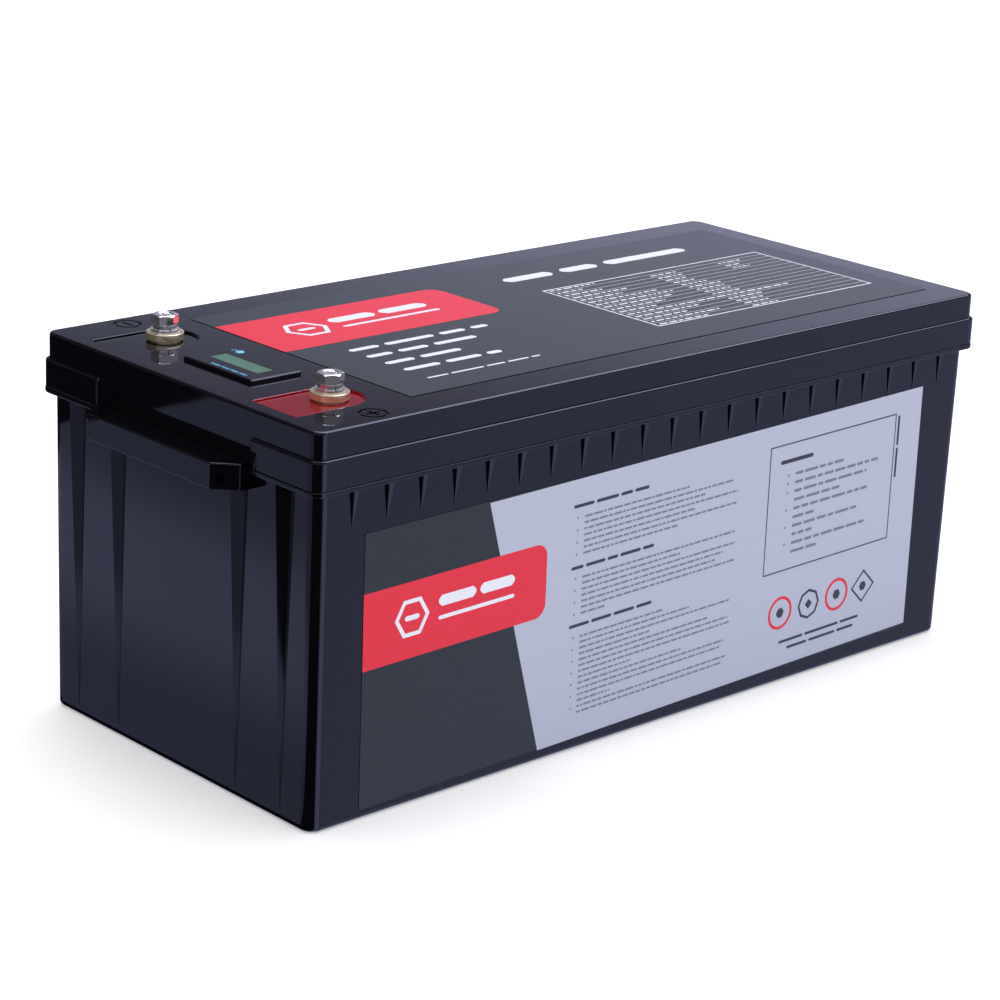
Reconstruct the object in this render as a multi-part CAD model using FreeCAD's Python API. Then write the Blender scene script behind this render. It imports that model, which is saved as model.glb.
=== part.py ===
import FreeCAD, Part
import math
import os

# Deep cycle lithium iron phosphate battery in a long rectangular plastic case.
# Millimetres. Origin at the centre of the case's base, +Z up, X along the case's length.
# The terminals and the display are at the -X end of the lid; the printed side is -Y.

Vector = FreeCAD.Vector
UP = Vector(0, 0, 1)
ALONG_X = Vector(1, 0, 0)
ALONG_Y = Vector(0, 1, 0)

# ---- driving dimensions -------------------------------------------------------------------
case_length = 522.0
case_width = 240.0
lid_top = 219.0

flange_top = 204.4          # step where the lid's skirt starts
seam_height = 188.0         # lid skirt meets the container's rim
seam_gap = 0.3
flange_bottom = 185.1       # underside of the container's rim
corner_radius = 8.0
skirt_inset = 0.2
lid_wall_inset = 2.0
wall_inset = 4.6
wall_draft = 0.9            # each wall leans in by this much at the base
base_edge_radius = 3.0

wall_thickness = 5.5
floor_thickness = 5.0
lid_thickness = 4.0
tongue_inset = 4.1          # container wall inside the lid's skirt
tongue_top = 204.3
tongue_corner = 5.0
cavity_corner = 4.0
lid_fit = 0.2
lid_cavity_margin = 0.6
seal_room = 1.0
seal_height = 0.9
seal_inset = 0.4

end_groove_width = 16.0     # the four long tapered grooves of each end wall
end_groove_depth = 4.0
end_groove_offsets = (-90.0, -52.5, 52.5, 90.0)
end_groove_foot = 7.0
side_notch_count = 21       # short tapered notches below the rim of each long wall
side_notch_span = 464.6
side_notch_width = 7.3
side_notch_depth = 3.0
side_notch_length = 20.5
side_notch_bend = (0.64, 0.33)     # where a notch's floor turns gentler: shares of width and depth
side_notch_deepest = 0.31          # share of the width from the -X edge to the deepest line
side_notch_tip = 0.36              # the lower tip lies this share of the width from the -X edge
groove_tip = 0.06           # share of a groove's section left at its lower tip
cutter_proud = 2.0          # cutters start this far outside the face they cut

grip_half_width = 64.0      # carrying ledges at both ends
grip_reach = 15.0           # beyond the rim
grip_chamfer = 11.0
grip_bottom = 176.0
grip_top = 190.5
grip_wall = 3.0
grip_root = 12.0            # how far the ledges are drawn into the case before they are trimmed
grip_edge_round = 0.8
grip_rope_hole = 2.7
grip_hole_offset = 4.0      # hole axis on the chamfer, from the ledge's front face
grip_hole_drop = 1.0        # below the middle of the ledge's height
grip_hole_reach = 10.0
grip_rib = (46.5, 48.5)     # stiffening ribs between the hand space and the rope holes
grip_gap_half = 65.5        # gap of the rim and skirt around each ledge
grip_gap_round = 1.6
skirt_top_round = 1.5
seam_edge_round = 0.4
rim_foot_round = 0.9
lid_edge_round = 1.6

terminal_x = -212.5
terminal_y = 70.5
recess_radius = 19.0
recess_straight_end = -250.0
recess_floor = 217.8
tray_below_lid = 0.1
tray_bevel = 0.4
insert_bottom = 213.0
insert_wall = 1.0
pocket_corner = 2.0
tray_corner = 1.2
boss_wall = 2.5
boss_end_wall = 1.5
boss_bottom = 211.0
o_ring_seat = (2.4, 1.9)    # width and depth
o_ring_middle = 1.25        # from the stem's side
o_ring_section = 0.92
post_radius = 10.4
post_neck_radius = 9.0
post_neck_height = 0.8
post_head_height = 4.1
post_edge_round = 0.5
stem_radius = 7.0
stem_bottom = 195.0
bolt_radius = 4.0           # M8
bolt_length = 16.0
bolt_fit = 0.05
bolt_tip_chamfer = 0.8
bore_spare = 1.5            # the post's bore is this much deeper than the bolt
thread_fit = 0.03
stem_nut_flats = 20.0
stem_nut_height = 4.8
stem_nut_drops = (5.0, 12.2)        # below the boss
flat_washer = (4.2, 8.0, 1.6)       # inner radius, outer radius, thickness
spring_washer = (4.1, 6.6, 2.5)
spring_slit = 1.0
spring_slit_lean = 25.0
spring_slit_turn = -100.0
hex_head_flats = 13.0
hex_head_height = 5.3
hex_crown_share = 0.95
hex_chamfer_angle = 30.0
bolt_dish = (3.6, 4.4, 0.5)         # floor radius, rim radius, depth
bolt_face_radius = 6.1      # round bearing face under the bolt's head
bolt_face_height = 0.4
sign_y = 105.0
sign_radius = 8.0
sign_line = 1.6
sign_depth = 0.7
sign_bar_half = 4.4

display_x = -214.3
bezel_length = 58.8
bezel_width = 34.3
bezel_height = 2.2
bezel_bevel = 0.7
bezel_corner = 1.5
bezel_body_inset = 0.9
bezel_body_wall = 0.8
bezel_body_depth = 6.0
bezel_body_corner = 0.6
window_drop = 0.2           # the clear cover lies this far below the bezel's face
window_thickness = 1.2
screen_gap = 0.05
screen_depth = 2.0
screen_x = -214.7
screen_length = 41.0
screen_width = 11.2
button_x = -202.0
button_y = 17.5
button_radius = 2.4
button_fit = 0.08
button_proud = 0.3
button_lip = 0.4
button_lip_height = 0.7
button_lip_drop = 0.9
button_round = 0.35
circuit_thickness = 1.6
display_board_drop = 2.8
switch_half = 1.6
switch_height = 1.1
driver_half = 5.0
driver_height = 1.6

label_thickness = 0.3
top_label = (-177.5, 240.5, -94.0, 94.0)
side_label_middle = (-1.7, 85.3)   # X and Z
side_label_size = (443.0, 153.7)
side_label_tilt = 0.7       # degrees; the label sits a little higher at its +X end
label_corner = 1.0

cell_count = 8
cell_thickness = 48.0
cell_width = 160.0
cell_height = 118.0
cell_gap = 1.0
cell_corner = 2.0
vent_radius = 6.0
vent_depth = 0.6
cell_pad_radius = 9.0
cell_pad_height = 3.0
cell_stud_radius = 3.0
cell_stud_height = 14.0
spacer_margin = 1.0
post_offset = 52.0          # cell terminals sit this far from the middle
pack_end_x = 242.0
end_plate = 3.0
end_plate_drop = 2.0
base_pad = 3.0
link_half_width = 10.0
link_thickness = 2.0
link_hole_fit = 0.2
arch_radius = 6.0
arch_drop = 1.5
cell_nut_flats = 10.0
cell_nut_height = 5.0
cell_nut_flange_radius = 7.0
cell_nut_flange_height = 1.2
strap_thickness = 0.8
strap_width = 16.0
strap_offsets = (22.0, 84.0)        # above the cells' feet
strap_seal_offset = 40.0
strap_seal_length = 30.0
side_foam_gap = 2.2
side_foam_count = 3
side_foam_length = 60.0
end_foam_length = 120.0
foam_drop = 8.0
cover_height = 14.0         # above the links
cover_thickness = 1.5
top_foam_width = 40.0
top_foam_length = 140.0
top_foam_offset = 60.0
clear = 0.3                 # gap left between neighbouring pieces
touch_gap = 0.1             # hairline gap between pieces that are pressed together

board_x = -178.0            # upright battery management board
board_width = 150.0
board_height = 92.0
board_bottom = 12.0
board_hole = 1.7
board_hole_margin = 6.0
transistor_rows = 2
transistor_columns = 8
transistor_size = (2.35, 5.0, 5.5)  # thickness, half width, half height
transistor_foot = 28.0
transistor_row_pitch = 26.0
transistor_pitch = 15.0
transistor_start_y = -52.0
solder_gap = 0.05
heat_sink_gap = 2.5
heat_sink_foot = 16.0
heat_sink_height = 50.0
heat_sink_length = 132.0
heat_sink_plate = 3.0
fin_count = 11
fin_reach = 15.0
fin_half_thickness = 0.9
socket_spans = ((-34.0, -6.0), (8.0, 18.0), (22.0, 28.0))
socket_depth = 6.0
socket_height = 10.0
socket_drop = 9.0           # middle of the sockets below the board's top
power_tab_offsets = (post_offset, post_offset + 16.0)
power_tab_thickness = 2.0
power_tab_width = 14.0
power_tab_above = 6.0
power_tab_below = 26.0
power_tab_hole = 3.1
power_tab_hole_drop = 2.0
bracket_offset = 16.0
bracket_sheet = 1.5
bracket_foot = 9.0
bracket_below_board = 26.0
bracket_hole_drop = 8.0
standoff_radii = (1.75, 3.5)
board_screw_radius = 1.5
board_screw_head = (3.0, 2.0)

lug_thickness = 2.0
lug_neck_half = 4.0
lug_barrel_radius = 5.2
lug_barrel_length = 16.0
lug_barrel_gap = 3.0
nut_gap = 0.2
stud_lug_radius = 7.5
post_lug_radius = 11.0
power_cable_radius = 4.6
sense_wire_radius = 0.8
sense_lane_start = -30.0
sense_lane_pitch = 3.4
sense_lane_height = 4.0
probe_cell = 2
probe_radius = 2.5
probe_length = 10.0
probe_y = 8.0
probe_wire_radius = 0.9
display_cable_radius = 2.2

# ---- sizes that follow --------------------------------------------------------------------
half_length = case_length / 2
half_width = case_width / 2
cavity_x = half_length - wall_inset - wall_thickness
cavity_y = half_width - wall_inset - wall_thickness
tongue_x = half_length - tongue_inset
tongue_y = half_width - tongue_inset
grip_front = -(half_length + grip_reach)
cell_bottom = floor_thickness + base_pad
cell_top = cell_bottom + cell_height
cell_pitch = cell_thickness + cell_gap
pack_start_x = pack_end_x - cell_count * cell_pitch + cell_gap
busbar_bottom = cell_top + cell_pad_height
busbar_top = busbar_bottom + link_thickness
cover_bottom = busbar_top + cover_height
board_face = board_x + circuit_thickness
board_top = board_bottom + board_height
bracket_x = board_x + bracket_offset
power_tab_face = board_face + power_tab_thickness
socket_face = board_face + socket_depth
socket_z = board_top - socket_drop
post_top = recess_floor + post_neck_height + post_head_height
head_bottom = post_top + flat_washer[2] + spring_washer[2]
wall_tilt = math.degrees(math.atan2(wall_draft, flange_bottom))

nodes = {}


# ---- shape helpers ------------------------------------------------------------------------
def block(x0, x1, y0, y1, z0, z1):
    """Box between two corners."""
    return Part.makeBox(x1 - x0, y1 - y0, z1 - z0, Vector(x0, y0, z0))


def cylinder(radius, height, foot, axis=UP):
    return Part.makeCylinder(radius, height, foot, axis)


def ring(inner, outer, height, foot, axis=UP):
    """Plain washer shape."""
    return cylinder(outer, height, foot, axis).cut(cylinder(inner, height, foot, axis))


def rounded_outline(half_x, half_y, radius, z):
    """Closed wire: a rectangle about the Z axis with round corners."""
    edges = []
    last = None
    first = None
    for turn in range(4):
        sign_x = 1 if turn in (0, 3) else -1
        sign_y_corner = 1 if turn in (0, 1) else -1
        middle = Vector(sign_x * (half_x - radius), sign_y_corner * (half_y - radius), z)
        points = []
        for step in range(3):
            angle = math.radians(90 * turn + 45 * step)
            points.append(middle + Vector(math.cos(angle), math.sin(angle), 0) * radius)
        if last is not None:
            edges.append(Part.LineSegment(last, points[0]).toShape())
        else:
            first = points[0]
        edges.append(Part.Arc(*points).toShape())
        last = points[2]
    edges.append(Part.LineSegment(last, first).toShape())
    return Part.Wire(edges)


def rounded_block(half_x, half_y, radius, z0, z1):
    face = Part.Face(rounded_outline(half_x, half_y, radius, z0))
    return face.extrude(Vector(0, 0, z1 - z0))


def edges_at_height(shape, z):
    """Edges that lie wholly at one height."""
    found = []
    for edge in shape.Edges:
        box = edge.BoundBox
        if abs(box.ZMin - z) < 1e-4 and abs(box.ZMax - z) < 1e-4:
            found.append(edge)
    return found


def upright_edges_near(shape, x, y, reach):
    """Vertical edges within reach of a point, seen from above."""
    found = []
    for edge in shape.Edges:
        box = edge.BoundBox
        flat = box.XLength < 1e-4 and box.YLength < 1e-4 and box.ZLength > 1.0
        if flat and math.hypot(box.XMin - x, box.YMin - y) < reach:
            found.append(edge)
    return found


def hexagon(flats, height, foot):
    """Hexagonal prism standing on its foot point, with two faces square to X."""
    across = flats / math.sqrt(3)
    corners = []
    for step in range(7):
        angle = math.radians(60 * step + 30)
        corners.append(foot + Vector(math.cos(angle), math.sin(angle), 0) * across)
    return Part.Face(Part.makePolygon(corners)).extrude(Vector(0, 0, height))


def route_wire(points):
    """Straight runs joined by tangent arcs as large as the runs allow."""
    share = 0.45
    edges = []
    start = points[0]
    for index in range(1, len(points) - 1):
        corner = points[index]
        before = points[index - 1] - corner
        after = points[index + 1] - corner
        half_turn = (math.pi - before.getAngle(after)) / 2
        setback = share * min(before.Length, after.Length)
        radius = setback / math.tan(half_turn)
        before.normalize()
        after.normalize()
        arc_start = corner + before * setback
        arc_end = corner + after * setback
        middle_way = before + after
        middle_way.normalize()
        bulge = corner + middle_way * (radius / math.cos(half_turn) - radius)
        edges.append(Part.LineSegment(start, arc_start).toShape())
        edges.append(Part.Arc(arc_start, bulge, arc_end).toShape())
        start = arc_end
    edges.append(Part.LineSegment(start, points[-1]).toShape())
    return Part.Wire(edges)


def lead(points, radius):
    """Round cable or wire that follows a route."""
    places = [Vector(*point) for point in points]
    wire = route_wire(places)
    direction = places[1] - places[0]
    profile = Part.Wire([Part.makeCircle(radius, places[0], direction)])
    return wire.makePipeShell([profile], True, False)


def d_shape(radius, straight_end, side, z0, z1, corner=pocket_corner):
    """Block with a round end towards +X, about a terminal; side is +1 or -1 in Y."""
    middle_y = side * terminal_y
    shape = block(straight_end, terminal_x, middle_y - radius, middle_y + radius, z0, z1)
    corners = upright_edges_near(shape, straight_end, middle_y - radius, 1.0)
    corners += upright_edges_near(shape, straight_end, middle_y + radius, 1.0)
    shape = shape.makeFillet(corner, corners)
    return shape.fuse(cylinder(radius, z1 - z0, Vector(terminal_x, middle_y, z0))).removeSplitter()


def mirrored_ends(shape):
    """The shape and its mirror image at the other end of the case."""
    return [shape, shape.mirror(Vector(0, 0, 0), ALONG_X)]


def group(*shapes):
    return Part.makeCompound(list(shapes))


# ---- case ---------------------------------------------------------------------------------
def tapered_groove(width, depth, z0, z1, wall_x, wall_lean):
    """V-shaped cutter for a wall that faces -X; it narrows to a tip at its lower end."""
    sections = []
    for share, z, face_x in ((groove_tip, z0, wall_x + wall_lean), (1.0, z1, wall_x)):
        half = width / 2 * share
        deep = depth * share
        spread = half * (1 + cutter_proud / deep)
        corners = [
            Vector(face_x + deep, 0, z),
            Vector(face_x - cutter_proud, spread, z),
            Vector(face_x - cutter_proud, -spread, z),
        ]
        sections.append(Part.makePolygon(corners + corners[:1]))
    return Part.makeLoft(sections, True, True)


def side_notch():
    """Cutter for a short notch of the -Y wall: steep at its -X side, with a gentle floor at +X."""
    foot = flange_bottom - side_notch_length
    tip_x = side_notch_tip * side_notch_width
    sections = []
    for share, z in ((groove_tip, foot), (1.0, flange_bottom)):
        face_y = -(half_width - wall_inset) + lean_at(z)
        start = tip_x * (1 - share)
        wide = side_notch_width * share
        deep = side_notch_depth * share
        bend_x = start + side_notch_bend[0] * wide
        bend_deep = side_notch_bend[1] * deep
        slope = (start + wide - bend_x) / bend_deep
        corners = [
            Vector(start, face_y, z),
            Vector(start + side_notch_deepest * wide, face_y + deep, z),
            Vector(bend_x, face_y + bend_deep, z),
            Vector(start + wide + slope * cutter_proud, face_y - cutter_proud, z),
            Vector(start, face_y - cutter_proud, z),
        ]
        sections.append(Part.makePolygon(corners + corners[:1]))
    return Part.makeLoft(sections, True, True)


def lean_at(z):
    """How far a wall has leaned in at this height."""
    return wall_draft * (flange_bottom - z) / flange_bottom


def end_gap(half_gap, z0, z1, from_x):
    """Cutters that clear both ends of the case around the carrying ledges."""
    outward = block(-half_length - 5, from_x, -half_gap, half_gap, z0, z1)
    return mirrored_ends(outward)


def edge_band(half_x, half_y, z0, z1, gap_floor_x, foot_round, top_round):
    """Proud band round the case, cut away at both ends around the ledges, with its edges rounded."""
    band = rounded_block(half_x, half_y, corner_radius, z0, z1)
    band = band.cut(end_gap(grip_gap_half, z0 - 1, z1 + 1, -gap_floor_x))
    gap_ends = []
    for end in (-1, 1):
        for side in (-1, 1):
            gap_ends += upright_edges_near(band, end * half_x, side * grip_gap_half, 0.1)
    band = band.makeFillet(grip_gap_round, gap_ends)
    for z, radius in ((z0, foot_round), (z1, top_round)):
        rims = []
        for edge in edges_at_height(band, z):
            box = edge.BoundBox
            in_gap_floor = box.XLength < 1e-4 and abs(abs(box.XMin) - gap_floor_x) < 1e-4
            if not in_gap_floor:
                rims.append(edge)
        band = band.makeFillet(radius, rims)
    return band


def outer_body():
    """Leaning walls below the rim, before grooves."""
    top_x = half_length - wall_inset
    top_y = half_width - wall_inset
    lower = rounded_outline(top_x - wall_draft, top_y - wall_draft, corner_radius, 0)
    upper = rounded_outline(top_x, top_y, corner_radius, flange_bottom)
    body = Part.makeLoft([lower, upper], True, True)
    return body.makeFillet(base_edge_radius, edges_at_height(body, 0))


def groove_cutters():
    cutters = []
    end_x = -(half_length - wall_inset)
    for offset in end_groove_offsets:
        lean = lean_at(end_groove_foot)
        cutter = tapered_groove(
            end_groove_width, end_groove_depth, end_groove_foot, flange_bottom, end_x, lean
        )
        cutter.translate(Vector(0, offset, 0))
        cutters += mirrored_ends(cutter)
    spacing = side_notch_span / (side_notch_count - 1)
    for index in range(side_notch_count):
        notch = side_notch()
        middle = index * spacing - side_notch_span / 2
        notch.translate(Vector(middle - side_notch_width / 2, 0, 0))
        cutters.append(notch)
        cutters.append(notch.mirror(Vector(0, 0, 0), ALONG_Y))
    return cutters


def container_solid():
    """Container before it is hollowed."""
    body = outer_body().cut(groove_cutters())
    rim = edge_band(
        half_length, half_width, flange_bottom, seam_height, tongue_x, rim_foot_round, seam_edge_round
    )
    tongue = rounded_block(tongue_x, tongue_y, tongue_corner, flange_bottom, tongue_top)
    return body.fuse([rim, tongue]).removeSplitter()


def container(solid):
    cavity = rounded_block(cavity_x, cavity_y, cavity_corner, floor_thickness, tongue_top + 1)
    return solid.cut(cavity)


def grip_outline(inset, z):
    """Half-octagon of a carrying ledge, drawn in from its faces by inset."""
    front = grip_front + inset
    half = grip_half_width - inset
    chamfer = grip_chamfer - inset * (2 - math.sqrt(2))
    root = -(half_length - grip_root)
    points = [
        (root, half), (front + chamfer, half), (front, half - chamfer),
        (front, chamfer - half), (front + chamfer, -half), (root, -half),
    ]
    corners = [Vector(x, y, z) for x, y in points]
    return Part.Face(Part.makePolygon(corners + corners[:1]))


def grip_ledge(container_outside):
    """Carrying ledge: a ribbed shell open underneath, with a rope hole in each chamfered corner."""
    ledge = grip_outline(0, grip_bottom).extrude(Vector(0, 0, grip_top - grip_bottom))
    rounded = []
    for edge in ledge.Edges:
        if edge.BoundBox.XMin < -half_length - 1.0 and edge.BoundBox.XMax < -half_length + 1.0:
            rounded.append(edge)
    ledge = ledge.makeFillet(grip_edge_round, rounded)
    hollow = grip_outline(grip_wall, grip_bottom - 1)
    ledge = ledge.cut(hollow.extrude(Vector(0, 0, grip_top - grip_wall - grip_bottom + 1)))
    hole_z = (grip_bottom + grip_top) / 2 - grip_hole_drop
    for side in (-1, 1):
        inward = Vector(1, -side, 0)
        on_chamfer = Vector(
            grip_front + grip_hole_offset, side * (grip_half_width - grip_chamfer + grip_hole_offset), hole_z
        )
        mouth = on_chamfer - inward * cutter_proud
        ledge = ledge.cut(cylinder(grip_rope_hole, grip_hole_reach, mouth, inward))
        near, far = sorted((side * grip_rib[0], side * grip_rib[1]))
        rib = block(
            grip_front + grip_wall / 2, -(half_length - grip_root), near, far,
            grip_bottom + grip_edge_round, grip_top - grip_wall / 2,
        )
        ledge = ledge.fuse(rib)
    return ledge.removeSplitter().cut(container_outside)


def sign_cutter(side):
    """Engraved ring with a plus (side -1) or a minus (side +1) inside it."""
    middle = Vector(terminal_x, side * sign_y, lid_top - sign_depth)
    shape = ring(sign_radius - sign_line, sign_radius, sign_depth + 1, middle)
    bar = block(
        middle.x - sign_line / 2, middle.x + sign_line / 2,
        middle.y - sign_bar_half, middle.y + sign_bar_half,
        middle.z, middle.z + sign_depth + 1,
    )
    shape = shape.fuse(bar)
    if side < 0:
        crossing = bar.copy()
        crossing.rotate(middle, UP, 90)
        shape = shape.fuse(crossing)
    return shape


def lid():
    """Lid with a hanging skirt, two terminal pockets, a display opening and polarity signs."""
    wall_x = half_length - lid_wall_inset
    wall_y = half_width - lid_wall_inset
    bottom = seam_height + seam_gap
    crown = rounded_block(wall_x, wall_y, corner_radius - 1, bottom, lid_top)
    crown = crown.makeFillet(lid_edge_round, edges_at_height(crown, lid_top))
    skirt_x = half_length - skirt_inset
    skirt_y = half_width - skirt_inset
    skirt = edge_band(skirt_x, skirt_y, bottom, flange_top, wall_x, seam_edge_round, skirt_top_round)
    shape = crown.fuse(skirt).removeSplitter()
    shape = shape.cut(end_gap(grip_gap_half, bottom - 1, grip_top + seam_gap, -cavity_x))
    shape = shape.cut(rounded_block(
        tongue_x + lid_fit, tongue_y + lid_fit, tongue_corner + lid_fit, bottom - 1, tongue_top + seal_room
    ))
    underside = lid_top - lid_thickness
    shape = shape.cut(rounded_block(
        cavity_x + lid_cavity_margin, cavity_y + lid_cavity_margin, cavity_corner, bottom - 1, underside
    ))
    for side in (-1, 1):
        boss = d_shape(
            recess_radius + boss_wall, recess_straight_end - boss_end_wall, side, boss_bottom, underside
        )
        shape = shape.fuse(boss)
        pocket = d_shape(recess_radius, recess_straight_end, side, insert_bottom, lid_top + 1)
        shape = shape.cut(pocket)
        hole_foot = Vector(terminal_x, side * terminal_y, boss_bottom - 1)
        shape = shape.cut(cylinder(stem_radius + clear, insert_bottom - boss_bottom + 2, hole_foot))
        shape = shape.cut(sign_cutter(side))
    opening_x = bezel_width / 2 - bezel_body_inset + lid_fit
    opening_y = bezel_length / 2 - bezel_body_inset + lid_fit
    shape = shape.cut(block(
        display_x - opening_x, display_x + opening_x, -opening_y, opening_y,
        boss_bottom, lid_top + 1,
    ))
    return shape.removeSplitter()


def lid_seal():
    outer = rounded_block(
        tongue_x - seal_inset, tongue_y - seal_inset, tongue_corner - seal_inset,
        tongue_top, tongue_top + seal_height,
    )
    inner = rounded_block(cavity_x + 1, cavity_y + 1, cavity_corner, tongue_top - 1, tongue_top + 2)
    return outer.cut(inner)


# ---- terminals ----------------------------------------------------------------------------
def terminal_surround(side):
    """Coloured tray that lines the pocket around one terminal."""
    tray_top = lid_top - tray_below_lid
    tray = d_shape(recess_radius, recess_straight_end, side, insert_bottom, tray_top)
    inner_x = recess_straight_end + insert_wall
    inner = d_shape(recess_radius - insert_wall, inner_x, side, recess_floor, lid_top + 1, tray_corner)
    tray = tray.cut(inner)
    lips = []
    for edge in edges_at_height(tray, tray_top):
        middle_of_edge = edge.valueAt((edge.FirstParameter + edge.LastParameter) / 2)
        sideways = abs(middle_of_edge.y - side * terminal_y)
        outward = math.hypot(max(0.0, middle_of_edge.x - terminal_x), sideways)
        in_round = outward < recess_radius - insert_wall / 2
        if in_round and middle_of_edge.x > recess_straight_end + insert_wall / 2:
            lips.append(edge)
    tray = tray.makeChamfer(tray_bevel, lips)
    middle = Vector(terminal_x, side * terminal_y, 0)
    stem_hole_foot = middle + UP * (insert_bottom - 1)
    tray = tray.cut(cylinder(stem_radius + clear, recess_floor - insert_bottom + 2, stem_hole_foot))
    seat_width, seat_depth = o_ring_seat
    seat_foot = middle + UP * (recess_floor - seat_depth)
    return tray.cut(ring(stem_radius, stem_radius + seat_width, seat_depth + 1, seat_foot))


def terminal_post(side):
    """Threaded brass insert: a wide head in the recess and a stem through the lid."""
    middle = Vector(terminal_x, side * terminal_y, 0)
    head_foot = recess_floor + post_neck_height
    head = cylinder(post_radius, post_head_height, middle + UP * head_foot)
    head = head.makeFillet(
        post_edge_round, edges_at_height(head, head_foot) + edges_at_height(head, post_top)
    )
    neck = cylinder(post_neck_radius, post_neck_height + 1, middle + UP * recess_floor)
    head = head.fuse(neck)
    stem = cylinder(stem_radius, recess_floor - stem_bottom + 1, middle + UP * stem_bottom)
    bore_foot = middle + UP * (post_top - bolt_length - bore_spare)
    bore = cylinder(bolt_radius + bolt_fit, bolt_length + bore_spare + 1, bore_foot)
    return head.fuse(stem).cut(bore).removeSplitter()


def terminal_bolt(side):
    """Hexagon-head machine bolt with a chamfered crown and a round bearing face."""
    bearing = Vector(terminal_x, side * terminal_y, head_bottom)
    face = cylinder(bolt_face_radius, bolt_face_height + 1, bearing)
    foot = bearing + UP * bolt_face_height
    head = hexagon(hex_head_flats, hex_head_height, foot)
    foot_radius = hex_head_flats / 2
    crown_radius = foot_radius * hex_crown_share
    widening = hex_head_height / math.tan(math.radians(hex_chamfer_angle))
    crown = Part.makeCone(crown_radius + widening, crown_radius, hex_head_height, foot)
    under = Part.makeCone(foot_radius, foot_radius + widening, hex_head_height, foot)
    head = head.common(crown).common(under)
    dish_floor, dish_rim, dish_depth = bolt_dish
    dish_foot = foot + UP * (hex_head_height - dish_depth)
    head = head.cut(Part.makeCone(dish_floor, dish_rim, dish_depth, dish_foot))
    shank = cylinder(bolt_radius, bolt_length + 1, bearing - UP * bolt_length)
    shank = shank.makeChamfer(bolt_tip_chamfer, edges_at_height(shank, bearing.z - bolt_length))
    return head.fuse([face, shank]).removeSplitter()


def flat_washer_shape(side):
    inner, outer, thickness = flat_washer
    return ring(inner, outer, thickness, Vector(terminal_x, side * terminal_y, post_top))


def spring_washer_shape(side):
    """Split lock washer, nearly flat."""
    inner, outer, thickness = spring_washer
    foot = Vector(terminal_x, side * terminal_y, post_top + flat_washer[2])
    washer = ring(inner, outer, thickness, foot)
    half = spring_slit / 2
    slit = block(foot.x, foot.x + outer + 1, foot.y - half, foot.y + half, foot.z - 1, foot.z + 4)
    slit.rotate(foot, ALONG_X, spring_slit_lean)
    slit.rotate(foot, UP, spring_slit_turn)
    return washer.cut(slit)


def o_rings():
    seat_width, seat_depth = o_ring_seat
    rings = []
    for side in (-1, 1):
        middle = Vector(terminal_x, side * terminal_y, recess_floor - seat_depth / 2)
        rings.append(Part.makeTorus(stem_radius + o_ring_middle, o_ring_section, middle))
    return group(*rings)


def terminal_nuts():
    """Two nuts on each stem clamp the post to the lid and the lug to the post."""
    nuts = []
    for side in (-1, 1):
        for drop in stem_nut_drops:
            foot = Vector(terminal_x, side * terminal_y, boss_bottom - drop)
            nut = hexagon(stem_nut_flats, stem_nut_height, foot)
            hole = cylinder(stem_radius + thread_fit, stem_nut_height + 2, foot - UP)
            nuts.append(nut.cut(hole))
    return group(*nuts)


# ---- display ------------------------------------------------------------------------------
def display_bezel():
    half_x = bezel_width / 2
    half_y = bezel_length / 2
    face = lid_top + bezel_height
    plate = rounded_block(half_x, half_y, bezel_corner, lid_top, face)
    plate = plate.makeChamfer(bezel_bevel, edges_at_height(plate, face))
    body_x = half_x - bezel_body_inset
    body_y = half_y - bezel_body_inset
    foot = lid_top - bezel_body_depth
    body = rounded_block(body_x, body_y, bezel_body_corner, foot, lid_top)
    inside = rounded_block(
        body_x - bezel_body_wall, body_y - bezel_body_wall, bezel_body_corner - 0.2, foot - 1, lid_top
    )
    shape = plate.fuse(body).removeSplitter().cut(inside)
    shape.translate(Vector(display_x, 0, 0))
    shape = shape.cut(screen_block(lid_top - 1, face + 1))
    hole_foot = Vector(button_x, button_y, lid_top - 2)
    return shape.cut(cylinder(button_radius + button_fit, bezel_height + 4, hole_foot))


def screen_block(z0, z1):
    """Block with the outline of the display's opening."""
    half_x = screen_width / 2
    half_y = screen_length / 2
    return block(screen_x - half_x, screen_x + half_x, -half_y, half_y, z0, z1)


def display_window():
    """Clear cover set just below the bezel's face."""
    top = lid_top + bezel_height - window_drop
    return screen_block(top - window_thickness, top)


def display_screen():
    """Liquid crystal cell under the cover."""
    window_underside = lid_top + bezel_height - window_drop - window_thickness
    return screen_block(lid_top - screen_depth, window_underside - screen_gap)


def display_button():
    top = lid_top + bezel_height + button_proud
    stem_foot = lid_top - button_lip_drop
    middle = Vector(button_x, button_y, stem_foot)
    cap = cylinder(button_radius, top - stem_foot, middle)
    cap = cap.makeFillet(button_round, edges_at_height(cap, top))
    retaining = cylinder(button_radius + button_lip, button_lip_height, middle)
    return cap.fuse(retaining).removeSplitter()


def display_board():
    """Small circuit board under the display, with the button's switch and a driver chip."""
    margin = bezel_body_inset + bezel_body_wall + clear
    half_y = bezel_length / 2 - margin
    half_x = bezel_width / 2 - margin
    top = lid_top - display_board_drop
    foot = top - circuit_thickness
    board = block(display_x - half_x, display_x + half_x, -half_y, half_y, foot, top)
    half, tall = switch_half, switch_height
    switch = block(button_x - half, button_x + half, button_y - half, button_y + half, top, top + tall)
    half = driver_half
    driver = block(display_x - half, display_x + half, -half, half, foot - driver_height, foot)
    return board.fuse([switch, driver])


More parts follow.
